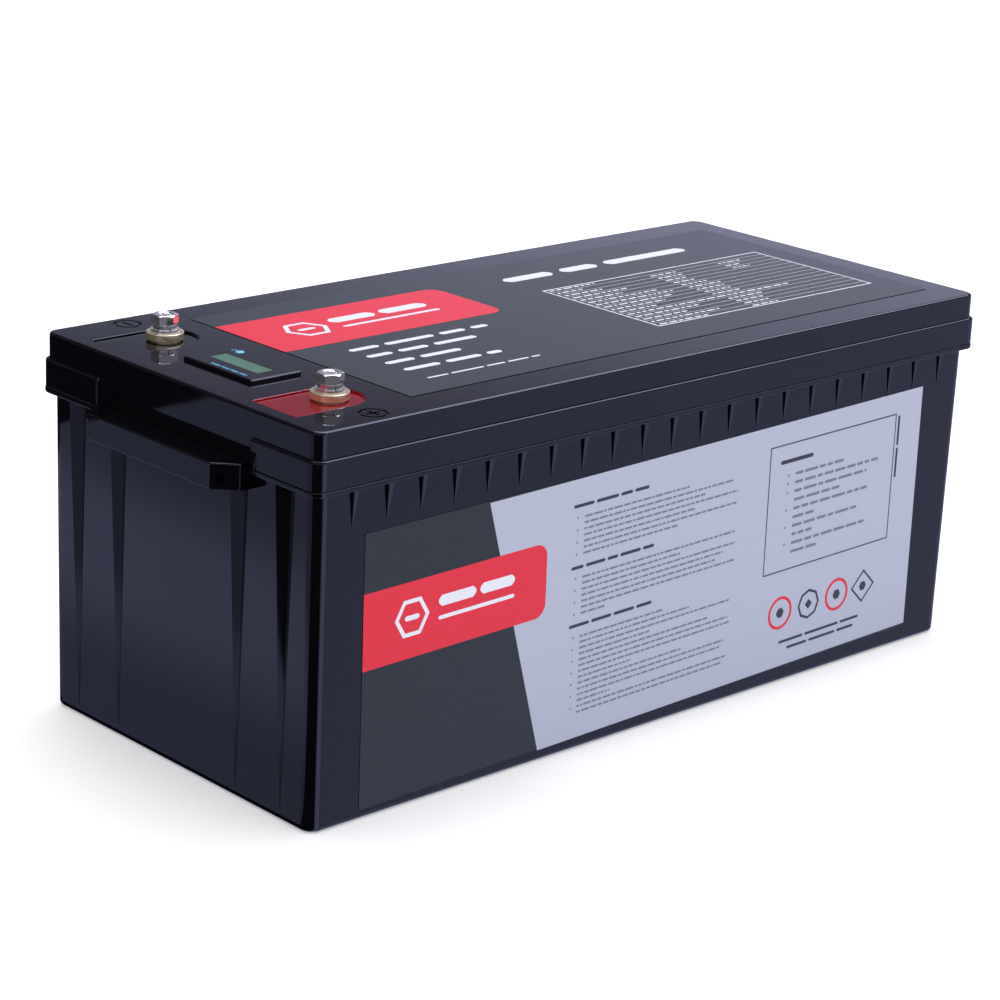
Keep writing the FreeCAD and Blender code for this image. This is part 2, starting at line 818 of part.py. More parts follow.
# ---- labels -------------------------------------------------------------------------------
def rounded_sheet(width, height, radius):
    """Thin label lying flat, lowest corner at the origin."""
    sheet = block(0, width, 0, height, 0, label_thickness)
    corners = []
    for x, y in ((0, 0), (width, 0), (0, height), (width, height)):
        corners += [
            edge for edge in sheet.Edges
            if edge.BoundBox.ZLength > label_thickness / 2
            and math.hypot(edge.BoundBox.XMin - x, edge.BoundBox.YMin - y) < 0.1
        ]
    return sheet.makeFillet(radius, corners)


def top_label_sheet():
    x0, x1, y0, y1 = top_label
    sheet = rounded_sheet(x1 - x0, y1 - y0, label_corner)
    sheet.translate(Vector(x0, y0, lid_top))
    return sheet


def side_label_sheet():
    """Label on the leaning -Y wall, stuck on slightly askew."""
    width, height = side_label_size
    middle_x, middle_z = side_label_middle
    sheet = rounded_sheet(width, height, label_corner)
    sheet.translate(Vector(-width / 2, -height / 2, 0))
    sheet.rotate(Vector(0, 0, 0), UP, side_label_tilt)
    sheet.rotate(Vector(0, 0, 0), ALONG_X, 90)
    wall_y = -(half_width - wall_inset)
    sheet.translate(Vector(middle_x, wall_y, middle_z))
    sheet.rotate(Vector(0, wall_y, flange_bottom), ALONG_X, wall_tilt)
    return sheet


# ---- cells --------------------------------------------------------------------------------
def cell_middle(index):
    return pack_start_x + cell_thickness / 2 + index * cell_pitch


def cell(index):
    """Prismatic cell in its insulating wrap, with a shallow vent in the top."""
    x = cell_middle(index)
    half = cell_thickness / 2
    can = block(x - half, x + half, -cell_width / 2, cell_width / 2, cell_bottom, cell_top)
    upright = [edge for edge in can.Edges if edge.BoundBox.ZLength > cell_height / 2]
    can = can.makeFillet(cell_corner, upright)
    vent = cylinder(vent_radius, vent_depth + 1, Vector(x, 0, cell_top - vent_depth))
    return can.cut(vent)


def cell_posts():
    """Terminal pads with their threaded studs, two on each cell."""
    posts = []
    for index in range(cell_count):
        for side in (-1, 1):
            foot = Vector(cell_middle(index), side * post_offset, cell_top)
            pad = cylinder(cell_pad_radius, cell_pad_height, foot)
            stud = cylinder(cell_stud_radius, cell_stud_height, foot)
            posts.append(pad.fuse(stud).removeSplitter())
    return group(*posts)


def cell_spacers():
    """Insulating sheets between neighbouring cells."""
    sheets = []
    half_y = cell_width / 2 - spacer_margin
    for index in range(cell_count - 1):
        x = cell_middle(index) + cell_thickness / 2
        sheets.append(block(
            x + touch_gap, x + cell_gap - touch_gap, -half_y, half_y,
            cell_bottom + spacer_margin, cell_top - spacer_margin,
        ))
    return group(*sheets)


def link_side(index):
    """Series links alternate between the two sides of the pack."""
    return -1 if index % 2 == 0 else 1


def end_stud(index, side):
    """The first and last cells keep one free stud each, for the power leads."""
    return side == 1 and index in (0, cell_count - 1)


def busbars():
    """Series links with an arch over the gap between cells, and a plate on each free stud."""
    links = []
    half = link_half_width
    hole = cell_stud_radius + link_hole_fit
    hole_reach = link_thickness + 2
    for index in (0, cell_count - 1):
        x = cell_middle(index)
        plate = block(x - half, x + half, post_offset - half, post_offset + half, busbar_bottom, busbar_top)
        links.append(plate.cut(cylinder(hole, hole_reach, Vector(x, post_offset, busbar_bottom - 1))))
    for index in range(cell_count - 1):
        x0 = cell_middle(index)
        x1 = cell_middle(index + 1)
        y = link_side(index) * post_offset
        bar = block(x0 - half, x1 + half, y - half, y + half, busbar_bottom, busbar_top)
        middle = (x0 + x1) / 2
        arch_foot = Vector(middle, y - half, busbar_bottom - arch_drop)
        arch_outer = arch_radius + link_thickness
        bar = bar.cut(cylinder(arch_radius, 2 * half, arch_foot, ALONG_Y))
        arch = ring(arch_radius, arch_outer, 2 * half, arch_foot, ALONG_Y)
        lower = block(
            middle - arch_outer - 1, middle + arch_outer + 1, y - half - 1, y + half + 1,
            busbar_bottom - arch_drop - arch_outer - 1, busbar_bottom,
        )
        bar = bar.fuse(arch.cut(lower)).removeSplitter()
        for x in (x0, x1):
            bar = bar.cut(cylinder(hole, hole_reach, Vector(x, y, busbar_bottom - 1)))
        links.append(bar)
    return group(*links)


def cell_nuts():
    """Flanged nuts: on the links, and above the lugs on the two end studs."""
    nuts = []
    for index in range(cell_count):
        for side in (-1, 1):
            lift = lug_thickness if end_stud(index, side) else 0.0
            foot = Vector(cell_middle(index), side * post_offset, busbar_top + lift)
            nut = hexagon(cell_nut_flats, cell_nut_height, foot)
            nut = nut.fuse(cylinder(cell_nut_flange_radius, cell_nut_flange_height, foot))
            hole = cylinder(cell_stud_radius + thread_fit, cell_nut_height + 2, foot - UP)
            nuts.append(nut.cut(hole).removeSplitter())
    return group(*nuts)


def pack_end_plate(x0):
    top = cell_top - end_plate_drop
    return block(x0, x0 + end_plate, -cell_width / 2, cell_width / 2, cell_bottom, top)


def pack_strap(z0):
    """Steel band around the cells and end plates, with its crimped seal."""
    x0 = pack_start_x - end_plate - touch_gap
    x1 = pack_end_x + end_plate + touch_gap
    half_y = cell_width / 2 + touch_gap
    z1 = z0 + strap_width
    around = strap_thickness
    outer = block(x0 - around, x1 + around, -half_y - around, half_y + around, z0, z1)
    band = outer.cut(block(x0, x1, -half_y, half_y, z0 - 1, z1 + 1))
    seal_x = x0 + strap_seal_offset
    seal_y = -half_y - around
    seal = block(seal_x, seal_x + strap_seal_length, seal_y - around, seal_y, z0 + 1, z1 - 1)
    return band.fuse(seal)


def base_foam():
    return block(
        pack_start_x - end_plate, pack_end_x + end_plate,
        -cell_width / 2, cell_width / 2, floor_thickness, cell_bottom,
    )


def side_foam(side):
    """Foam blocks between the cells and one long wall."""
    blocks = []
    near = cell_width / 2 + side_foam_gap
    far = cavity_y - clear
    low, high = sorted((side * near, side * far))
    span = pack_end_x - pack_start_x
    half = side_foam_length / 2
    for index in range(side_foam_count):
        x = pack_start_x + span * (index + 0.5) / side_foam_count
        blocks.append(block(x - half, x + half, low, high, floor_thickness, cell_top - foam_drop))
    return group(*blocks)


def end_foam():
    inner = pack_end_x + end_plate + strap_thickness + 2 * touch_gap
    outer = cavity_x - clear
    half = end_foam_length / 2
    return block(inner, outer, -half, half, floor_thickness, cell_top - foam_drop)


def cover_board():
    """Insulating board over the links, resting on the foam below the lid."""
    top = cover_bottom + cover_thickness
    return block(pack_start_x, pack_end_x, -cell_width / 2, cell_width / 2, cover_bottom, top)


def top_foam():
    """Two foam bars between the cover board and the lid."""
    bars = []
    half_x = top_foam_width / 2
    half_y = top_foam_length / 2
    low = cover_bottom + cover_thickness
    high = lid_top - lid_thickness - clear
    for x in (pack_start_x + top_foam_offset, pack_end_x - top_foam_offset):
        bars.append(block(x - half_x, x + half_x, -half_y, half_y, low, high))
    return group(*bars)


# ---- battery management -------------------------------------------------------------------
def management_board():
    half = board_width / 2
    board = block(board_x, board_face, -half, half, board_bottom, board_top)
    for y in (-half + board_hole_margin, half - board_hole_margin):
        for z in (board_bottom + board_hole_margin, board_top - board_hole_margin):
            hole_foot = Vector(board_x - 1, y, z)
            board = board.cut(cylinder(board_hole, circuit_thickness + 2, hole_foot, ALONG_X))
    return board


def management_transistors():
    """Rows of power transistors on the heat sink side."""
    parts = []
    depth, half_y, half_z = transistor_size
    x1 = board_x - solder_gap
    for row in range(transistor_rows):
        z = board_bottom + transistor_foot + row * transistor_row_pitch
        for column in range(transistor_columns):
            y = transistor_start_y + column * transistor_pitch
            parts.append(block(x1 - depth, x1, y - half_y, y + half_y, z - half_z, z + half_z))
    return group(*parts)


def management_heat_sink():
    """Finned plate pressed against the transistors."""
    back = board_x - heat_sink_gap
    low = board_bottom + heat_sink_foot
    high = low + heat_sink_height
    half = heat_sink_length / 2
    plate = block(back - heat_sink_plate, back, -half, half, low, high)
    fins = []
    first_z = low + fin_half_thickness + touch_gap
    last_z = high - fin_half_thickness - touch_gap
    for index in range(fin_count):
        z = first_z + index * (last_z - first_z) / (fin_count - 1)
        fins.append(block(
            back - fin_reach, back - heat_sink_plate + touch_gap, -half, half,
            z - fin_half_thickness, z + fin_half_thickness,
        ))
    return plate.fuse(fins)


def management_connectors():
    """Sockets for the sense wires, the display and the temperature probe."""
    sockets = []
    for y0, y1 in socket_spans:
        low = socket_z - socket_height / 2
        high = socket_z + socket_height / 2
        sockets.append(block(board_face, socket_face, y0, y1, low, high))
    return group(*sockets)


def management_power_pads():
    """Bolted copper tabs for the pack and outlet leads."""
    tabs = []
    half = power_tab_width / 2
    for y in power_tab_offsets:
        tab = block(
            board_face, power_tab_face, y - half, y + half,
            board_top - power_tab_below, board_top + power_tab_above,
        )
        hole_foot = Vector(board_face - 1, y, board_top - power_tab_hole_drop)
        tabs.append(tab.cut(cylinder(power_tab_hole, power_tab_thickness + 2, hole_foot, ALONG_X)))
    return group(*tabs)


def management_bracket():
    """Upright sheet that carries the board, with a foot on the floor."""
    half = board_width / 2
    top = board_top - bracket_below_board
    sheet = block(bracket_x, bracket_x + bracket_sheet, -half, half, floor_thickness, top)
    foot = block(
        bracket_x, bracket_x + bracket_foot, -half, half, floor_thickness, floor_thickness + bracket_sheet
    )
    sheet = sheet.fuse(foot).removeSplitter()
    for y in (-half + board_hole_margin, half - board_hole_margin):
        for z in (board_bottom + board_hole_margin, top - bracket_hole_drop):
            hole_foot = Vector(bracket_x - 1, y, z)
            sheet = sheet.cut(cylinder(board_hole, bracket_sheet + 2, hole_foot, ALONG_X))
    return sheet


def standoffs():
    """Spacers between the board's two low holes and the bracket."""
    parts = []
    half = board_width / 2
    inner, outer = standoff_radii
    for y in (-half + board_hole_margin, half - board_hole_margin):
        foot = Vector(board_face, y, board_bottom + board_hole_margin)
        parts.append(ring(inner, outer, bracket_x - board_face, foot, ALONG_X))
    return group(*parts)


def board_screws():
    """Screws through the board and its spacers into the bracket."""
    parts = []
    half = board_width / 2
    head_radius, head_height = board_screw_head
    for y in (-half + board_hole_margin, half - board_hole_margin):
        foot = Vector(board_x, y, board_bottom + board_hole_margin)
        length = bracket_x + bracket_sheet + 1 - board_x
        shank = cylinder(board_screw_radius, length, foot, ALONG_X)
        head = cylinder(head_radius, head_height, foot - ALONG_X * head_height, ALONG_X)
        parts.append(shank.fuse(head).removeSplitter())
    return group(*parts)


# ---- leads --------------------------------------------------------------------------------
def lug(middle, direction, hole, outer):
    """Ring lug with a barrel that points in a level direction."""
    flag = ring(hole, outer, lug_thickness, middle)
    barrel_start = middle + direction * (outer + lug_barrel_gap) + UP
    neck_start = middle + direction * (hole + 1)
    neck_end = middle + direction * (outer + lug_barrel_gap + 1)
    half = UP.cross(direction) * lug_neck_half
    neck = Part.Face(Part.makePolygon([
        neck_start - half, neck_start + half, neck_end + half, neck_end - half, neck_start - half,
    ])).extrude(UP * lug_thickness)
    barrel = cylinder(lug_barrel_radius, lug_barrel_length, barrel_start, direction)
    return flag.fuse([neck, barrel]).removeSplitter()


def lug_tail(middle, direction, outer):
    """Point where the cable leaves a lug's barrel."""
    return middle + direction * (outer + lug_barrel_gap + lug_barrel_length) + UP


def power_leads():
    """Pack negative, outlet negative and pack positive cables with their lugs."""
    lug_z = boss_bottom - stem_nut_drops[0] - lug_thickness - nut_gap
    back = -ALONG_X
    inward = -ALONG_Y
    stud_hole = cell_stud_radius + touch_gap
    post_hole = stem_radius + bolt_fit

    first_stud = Vector(cell_middle(0), post_offset, busbar_top)
    last_stud = Vector(cell_middle(cell_count - 1), post_offset, busbar_top)
    negative_post = Vector(terminal_x, terminal_y, lug_z)
    positive_post = Vector(terminal_x, -terminal_y, lug_z)
    lugs = group(
        lug(first_stud, back, stud_hole, stud_lug_radius),
        lug(last_stud, inward, stud_hole, stud_lug_radius),
        lug(negative_post, ALONG_X, post_hole, post_lug_radius),
        lug(positive_post, ALONG_X, post_hole, post_lug_radius),
    )
    riser_x = power_tab_face + power_cable_radius + 0.4
    riser_foot = board_top + power_tab_above + 0.2
    tail = lug_tail(first_stud, back, stud_lug_radius)
    pack_negative = lead([
        tail, (riser_x, tail.y, tail.z), (riser_x, tail.y, riser_foot),
    ], power_cable_radius)
    tail = lug_tail(negative_post, ALONG_X, post_lug_radius)
    outlet_y = power_tab_offsets[1]
    outlet_negative = lead([
        tail, tail + ALONG_X * 12, (tail.x + 14, outlet_y + 2, 170.0),
        (riser_x + 1, outlet_y, 145.0), (riser_x, outlet_y, riser_foot),
    ], power_cable_radius)
    tail = lug_tail(last_stud, inward, stud_lug_radius)
    lane_y = 20.0
    lane_z = busbar_top + 7.5
    post_tail = lug_tail(positive_post, ALONG_X, post_lug_radius)
    pack_positive = lead([
        tail, tail + inward * 12, (tail.x - 24, 6.0, lane_z), (tail.x - 60, lane_y, lane_z),
        (100.0, lane_y, lane_z), (0.0, lane_y - 2, lane_z), (-90.0, lane_y, lane_z),
        (-124.0, 14.0, lane_z), (-157.0, 2.0, lane_z - 2.0), (-165.0, -30.0, lane_z + 9),
        (-160.0, -62.0, lug_z - 22), (post_tail.x + 15, -terminal_y, lug_z + 1), post_tail,
    ], power_cable_radius)
    return lugs, pack_negative, outlet_negative, pack_positive


def sense_wires():
    """One thin wire from the board to each link, bundled in lanes above the cells."""
    wires = []
    lane_z = cell_top + sense_lane_height
    for index in range(cell_count - 1):
        lane = sense_lane_start + sense_lane_pitch * index
        target_x = (cell_middle(index) + cell_middle(index + 1)) / 2
        side = link_side(index)
        wires.append(lead([
            (socket_face, lane, socket_z), (socket_face + 8, lane, socket_z),
            (socket_face + 14, lane, lane_z + 6), (pack_start_x + 12, lane, lane_z),
            (target_x - 8, lane, lane_z), (target_x - 2, lane, lane_z + 2.0),
            (target_x + 2, lane + side * 8, lane_z + 2.0),
            (target_x + 2, side * (post_offset - link_half_width - 0.2), lane_z + 2.0),
        ], sense_wire_radius))
    return group(*wires)


def temperature_probe():
    """Bead on top of a middle cell, with its wire to the board."""
    x = cell_middle(probe_cell)
    bead_z = cell_top + probe_radius + touch_gap
    bead_foot = Vector(x - probe_length / 2, probe_y, bead_z)
    bead = cylinder(probe_radius, probe_length, bead_foot, ALONG_X)
    lane = sum(socket_spans[2]) / 2
    wire = lead([
        (socket_face, lane, socket_z), (socket_face + 8, lane, socket_z),
        (socket_face + 14, lane, cell_top + 6), (pack_start_x + 14, 18.0, cell_top + 3.5),
        (x - 30, probe_y, bead_z), (bead_foot.x + 0.5, probe_y, bead_z),
    ], probe_wire_radius)
    return bead.fuse(wire)


def display_cable():
    """Flat route from the display's board down to its socket."""
    start_z = lid_top - display_board_drop - circuit_thickness - driver_height
    lane = sum(socket_spans[1]) / 2
    return lead([
        (display_x, 0, start_z), (display_x, 0, 196.0), (-196.0, 4.0, 172.0),
        (-168.0, 10.0, 150.0), (socket_face + 10, lane, socket_z + 8),
        (socket_face + 8, lane, socket_z), (socket_face, lane, socket_z),
    ], display_cable_radius)


# ---- every node ---------------------------------------------------------------------------
def build():
    outside = container_solid()
    nodes["container"] = container(outside)
    near_grip = grip_ledge(outside)
    nodes["grip_ledge_terminal_end"] = near_grip
    nodes["grip_ledge_far_end"] = near_grip.mirror(Vector(0, 0, 0), ALONG_X)
    nodes["lid"] = lid()
    nodes["lid_seal"] = lid_seal()
    for name, side in (("positive", -1), ("negative", 1)):
        nodes[name + "_surround"] = terminal_surround(side)
        nodes[name + "_post"] = terminal_post(side)
        nodes[name + "_flat_washer"] = flat_washer_shape(side)
        nodes[name + "_spring_washer"] = spring_washer_shape(side)
        nodes[name + "_bolt"] = terminal_bolt(side)
    nodes["terminal_o_rings"] = o_rings()
    nodes["terminal_nuts"] = terminal_nuts()
    nodes["display_bezel"] = display_bezel()
    nodes["display_window"] = display_window()
    nodes["display_screen"] = display_screen()
    nodes["display_button"] = display_button()
    nodes["display_board"] = display_board()
    nodes["top_label"] = top_label_sheet()
    nodes["side_label"] = side_label_sheet()
    for index in range(cell_count):
        nodes["cell_%d" % (index + 1)] = cell(index)
    nodes["cell_posts"] = cell_posts()
    nodes["cell_spacers"] = cell_spacers()
    nodes["cell_links"] = busbars()
    nodes["cell_nuts"] = cell_nuts()
    nodes["pack_end_plates"] = group(
        pack_end_plate(pack_start_x - end_plate), pack_end_plate(pack_end_x)
    )
    nodes["pack_straps"] = group(
        *[pack_strap(cell_bottom + offset) for offset in strap_offsets]
    )
    nodes["base_foam"] = base_foam()
    nodes["front_foam"] = side_foam(-1)
    nodes["rear_foam"] = side_foam(1)
    nodes["end_foam"] = end_foam()
    nodes["cover_board"] = cover_board()
    nodes["top_foam"] = top_foam()
    nodes["management_board"] = management_board()
    nodes["management_transistors"] = management_transistors()
    nodes["management_heat_sink"] = management_heat_sink()
    nodes["management_connectors"] = management_connectors()
    nodes["management_power_tabs"] = management_power_pads()
    nodes["management_bracket"] = management_bracket()
    nodes["board_standoffs"] = standoffs()
    nodes["board_screws"] = board_screws()
    lugs, pack_negative, outlet_negative, pack_positive = power_leads()
    nodes["cable_lugs"] = lugs
    nodes["pack_negative_lead"] = pack_negative
    nodes["outlet_negative_lead"] = outlet_negative
    nodes["pack_positive_lead"] = pack_positive
    nodes["sense_wires"] = sense_wires()
    nodes["temperature_probe"] = temperature_probe()
    nodes["display_cable"] = display_cable()


build()
os.makedirs("parts", exist_ok=True)
for node, shape in nodes.items():
    if not shape.isValid() or shape.Volume <= 0:
        print("check this shape:", node, shape.isValid(), round(shape.Volume, 1))
    shape.exportStep("parts/%s.step" % node)
print(len(nodes), "nodes")
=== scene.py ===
import math
import random
from collections import namedtuple

import bpy
from mathutils import Matrix, Vector


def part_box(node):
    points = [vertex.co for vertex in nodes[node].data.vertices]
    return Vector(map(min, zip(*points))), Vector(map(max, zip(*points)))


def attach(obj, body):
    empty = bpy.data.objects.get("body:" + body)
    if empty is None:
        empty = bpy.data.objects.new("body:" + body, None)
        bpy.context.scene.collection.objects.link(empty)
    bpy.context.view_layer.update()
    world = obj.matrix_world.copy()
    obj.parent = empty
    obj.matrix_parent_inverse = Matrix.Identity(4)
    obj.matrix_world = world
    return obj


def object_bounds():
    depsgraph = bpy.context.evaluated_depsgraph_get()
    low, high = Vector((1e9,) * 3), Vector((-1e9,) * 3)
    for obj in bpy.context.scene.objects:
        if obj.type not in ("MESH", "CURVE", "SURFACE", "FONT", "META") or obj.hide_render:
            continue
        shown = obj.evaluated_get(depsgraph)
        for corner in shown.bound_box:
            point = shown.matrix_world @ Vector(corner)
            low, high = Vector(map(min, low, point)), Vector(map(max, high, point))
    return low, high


# Deep cycle battery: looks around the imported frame. Metres, +Z up, X along the case.
# The terminals and the display are at the -X end of the lid; the printed side is -Y.

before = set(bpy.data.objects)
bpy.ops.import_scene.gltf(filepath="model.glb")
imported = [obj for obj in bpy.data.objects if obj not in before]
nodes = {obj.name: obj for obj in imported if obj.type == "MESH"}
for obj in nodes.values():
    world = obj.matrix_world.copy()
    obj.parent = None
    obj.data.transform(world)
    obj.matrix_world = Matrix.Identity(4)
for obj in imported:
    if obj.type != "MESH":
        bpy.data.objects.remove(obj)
cad_low, cad_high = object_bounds()
scene = bpy.context.scene
MM = 0.001


# ---- shader helpers -----------------------------------------------------------------------
class Shader:
    """A node material with a Principled surface and short ways to add detail to it."""

    def __init__(self, name, color, roughness, metallic=0.0):
        self.material = bpy.data.materials.new(name)
        self.material.use_nodes = True
        self.tree = self.material.node_tree
        self.surface = self.tree.nodes["Principled BSDF"]
        self.color = color
        self.roughness = roughness
        self.set("Base Color", (*color, 1.0))
        self.set("Roughness", roughness)
        self.set("Metallic", metallic)
        self.place = self.node("TexCoord").outputs["Object"]

    def set(self, socket, value):
        self.surface.inputs[socket].default_value = value

    def node(self, kind, **settings):
        made = self.tree.nodes.new("ShaderNode" + kind)
        for key, value in settings.items():
            setattr(made, key, value)
        return made

    def link(self, source, target):
        self.tree.links.new(source, target)

    def noise(self, scale, detail):
        """Noise with about scale features to the metre."""
        texture = self.node("TexNoise")
        texture.inputs["Scale"].default_value = scale
        texture.inputs["Detail"].default_value = detail
        self.link(self.place, texture.inputs["Vector"])
        return texture.outputs["Fac"]

    def spread(self, value, low, high, from_low=0.3, from_high=0.7):
        """Map a value, such as a texture's middle range, onto low to high."""
        span = self.node("MapRange")
        span.inputs["From Min"].default_value = from_low
        span.inputs["From Max"].default_value = from_high
        span.inputs["To Min"].default_value = low
        span.inputs["To Max"].default_value = high
        self.link(value, span.inputs["Value"])
        return span.outputs["Result"]

    def vary_color(self, texture, darkest, lightest):
        """Let the colour drift between two multiples of itself."""
        blend = self.node("Mix", data_type="RGBA")
        factor, dark, light = (blend.inputs[socket] for socket in (0, 6, 7))
        for socket, share in ((dark, darkest), (light, lightest)):
            socket.default_value = (*(min(1.0, c * share) for c in self.color), 1.0)
        self.link(self.spread(texture, 0.0, 1.0), factor)
        self.link(blend.outputs[2], self.surface.inputs["Base Color"])

    def vary_roughness(self, texture, share):
        """Let the roughness drift up and down by a share of itself."""
        low = self.roughness * (1 - share)
        high = self.roughness * (1 + share)
        self.link(self.spread(texture, low, high), self.surface.inputs["Roughness"])

    def bump(self, height, strength, distance):
        relief = self.node("Bump")
        relief.inputs["Strength"].default_value = strength
        relief.inputs["Distance"].default_value = distance
        self.link(height, relief.inputs["Height"])
        self.link(relief.outputs["Normal"], self.surface.inputs["Normal"])


# ---- materials ----------------------------------------------------------------------------
def glossy_plastic(name, color, roughness):
    """Moulded glossy plastic: faint orange peel, cloudy roughness and slow colour drift."""
    shader = Shader(name, color, roughness)
    shader.vary_roughness(shader.noise(scale=18.0, detail=4.0), share=0.35)
    shader.vary_color(shader.noise(scale=6.0, detail=2.0), darkest=0.8, lightest=1.2)
    shader.bump(shader.noise(scale=160.0, detail=2.0), strength=0.05, distance=0.0002)
    return shader


def metal(name, color, roughness, metallic=1.0):
    """Plated or rolled metal with fine tool marks; less metallic where the plating is dull."""
    shader = Shader(name, color, roughness, metallic)
    marks = shader.noise(scale=900.0, detail=3.0)
    shader.vary_roughness(marks, share=0.3)
    shader.bump(marks, strength=0.03, distance=0.00003)
    return shader


def dull(name, color, roughness):
    """Foam, paper, rubber and other matt stuff with a visible grain."""
    shader = Shader(name, color, roughness)
    grain = shader.noise(scale=300.0, detail=4.0)
    shader.vary_color(grain, darkest=0.7, lightest=1.25)
    shader.bump(grain, strength=0.3, distance=0.0003)
    return shader


def thin_ink(name, color, roughness):
    """Ink or film: a very fine grain and slightly uneven gloss."""
    shader = Shader(name, color, roughness)
    grain = shader.noise(scale=1400.0, detail=2.0)
    shader.vary_color(grain, darkest=0.96, lightest=1.04)
    shader.vary_roughness(shader.noise(scale=9.0, detail=3.0), share=0.06)
    shader.bump(grain, strength=0.02, distance=0.00003)
    return shader


def clear_plastic(name, color, roughness):
    """Clear window over the display: it takes on the green of the cell close behind it."""
    shader = glossy_plastic(name, color, roughness)
    shader.set("Alpha", 0.72)
    return shader


# The slot's name, its kind, colour and roughness, and for some plating how metallic it is.
LOOKS = (
    ("case_plastic", glossy_plastic, (0.0015, 0.0016, 0.0022), 0.035),
    ("red_plastic", glossy_plastic, (0.21, 0.004, 0.008), 0.06),
    ("seal_rubber", dull, (0.02, 0.02, 0.02), 0.7),
    ("plated_brass", metal, (1.0, 0.83, 0.52), 0.18, 0.82),
    ("plated_steel", metal, (1.0, 0.95, 0.89), 0.07, 0.93),
    ("steel_strap", metal, (0.55, 0.56, 0.58), 0.3),
    ("bezel_plastic", glossy_plastic, (0.003, 0.003, 0.004), 0.08),
    ("clear_cover", clear_plastic, (0.12, 0.25, 0.185), 0.03),
    ("lcd_cell", dull, (0.10, 0.24, 0.17), 0.4),
    ("button_plastic", glossy_plastic, (0.20, 0.55, 0.80), 0.25),
    ("circuit_board", dull, (0.01, 0.12, 0.04), 0.4),
    ("chip_plastic", dull, (0.02, 0.02, 0.02), 0.5),
    ("label_film", thin_ink, (0.016, 0.0215, 0.020), 0.24),
    ("cell_can", dull, (0.02, 0.08, 0.35), 0.4),
    ("aluminium", metal, (0.75, 0.76, 0.78), 0.25),
    ("copper", metal, (0.85, 0.45, 0.30), 0.22),
    ("insulation_sheet", dull, (0.70, 0.68, 0.55), 0.7),
    ("end_plate_metal", metal, (0.55, 0.56, 0.58), 0.35),
    ("foam", dull, (0.02, 0.02, 0.02), 0.9),
    ("black_cable", dull, (0.012, 0.012, 0.012), 0.5),
    ("red_cable", dull, (0.4, 0.012, 0.012), 0.5),
)
MATERIALS = {name: kind(name, *settings) for name, kind, *settings in LOOKS}

INK_COLORS = (
    ("red", (0.70, 0.014, 0.032), 0.30),
    ("silver", (0.425, 0.45, 0.563), 0.34),
    ("black", (0.030, 0.031, 0.045), 0.34),
    ("grey", (0.17, 0.177, 0.22), 0.34),
    ("white", (0.74, 0.75, 0.84), 0.34),
    ("blue", (0.10, 0.36, 0.62), 0.30),
)
INKS = {name: thin_ink("ink_" + name, *settings) for name, *settings in INK_COLORS}


def dress_nodes():
    """Give every CAD node the look that its slots ask for."""
    for node in nodes.values():
        for slot in node.material_slots:
            slot.material = MATERIALS[slot.material.name.split(".")[0]].material


# ---- camera and floor ---------------------------------------------------------------------
# The view is fitted to the edges of the case in the photograph. Angles are in degrees.
CAMERA_AZIMUTH = -43.676
CAMERA_ELEVATION = 18.056
CAMERA_ROLL = 2.661
CAMERA_DISTANCE = 1.72827
CAMERA_SIDEWAYS = -0.01534
CAMERA_LIFT = -0.00576
CAMERA_AIM = Vector((0, 0, 0.110))
LENS = 105.477
SENSOR_WIDTH = 36.0

FLOOR_HALF = 12.0
FLOOR_GAP = 0.0002          # from the foot of the case down to the floor, to keep their faces apart
FLOOR_GLOW = (0.30, 0.5)    # emission near the case and far from it, which hides the horizon
FLOOR_GLOW_REACH = (0.4, 1.8)


def direction(azimuth, elevation):
    """Unit vector from the object towards a camera; azimuth 0 is on the -Y side, 90 is +X."""
    a = math.radians(azimuth)
    e = math.radians(elevation)
    return Vector((math.sin(a) * math.cos(e), -math.cos(a) * math.cos(e), math.sin(e)))


def make_camera():
    back = direction(CAMERA_AZIMUTH, CAMERA_ELEVATION)
    azimuth = math.radians(CAMERA_AZIMUTH)
    level = Vector((math.cos(azimuth), math.sin(azimuth), 0))
    upright = back.cross(level)
    roll = math.radians(CAMERA_ROLL)
    right = level * math.cos(roll) + upright * math.sin(roll)
    up = upright * math.cos(roll) - level * math.sin(roll)
    place = CAMERA_AIM + back * CAMERA_DISTANCE + right * CAMERA_SIDEWAYS + up * CAMERA_LIFT
    data = bpy.data.cameras.new("camera")
    data.sensor_width = SENSOR_WIDTH
    data.lens = LENS
    data.clip_start = 0.05
    data.clip_end = 50.0
    camera = bpy.data.objects.new("camera", data)
    scene.collection.objects.link(camera)
    turn = Matrix((right, up, back)).transposed().to_4x4()
    camera.matrix_world = Matrix.Translation(place) @ turn
    scene.camera = camera


def add_mesh(name, vertices, faces):
    mesh = bpy.data.meshes.new(name)
    mesh.from_pydata(vertices, [], faces)
    mesh.update()
    obj = bpy.data.objects.new(name, mesh)
    scene.collection.objects.link(obj)
    return obj


def make_floor():
    """White floor that takes a faint shadow and stays out of reflections."""
    corners = ((-1, -1), (1, -1), (1, 1), (-1, 1))
    outline = [(x * FLOOR_HALF, y * FLOOR_HALF, 0) for x, y in corners]
    floor = add_mesh("floor", outline, [(0, 1, 2, 3)])
    shader = Shader("floor", (0.86, 0.86, 0.87), 0.9)
    distance = shader.node("VectorMath", operation="LENGTH")
    shader.link(shader.place, distance.inputs[0])
    glow = shader.spread(distance.outputs["Value"], *FLOOR_GLOW, *FLOOR_GLOW_REACH)
    shader.set("Emission Color", (1, 1, 1, 1))
    shader.link(glow, shader.surface.inputs["Emission Strength"])
    floor.data.materials.append(shader.material)
    floor.location.z = cad_low.z - FLOOR_GAP
    floor.visible_glossy = False


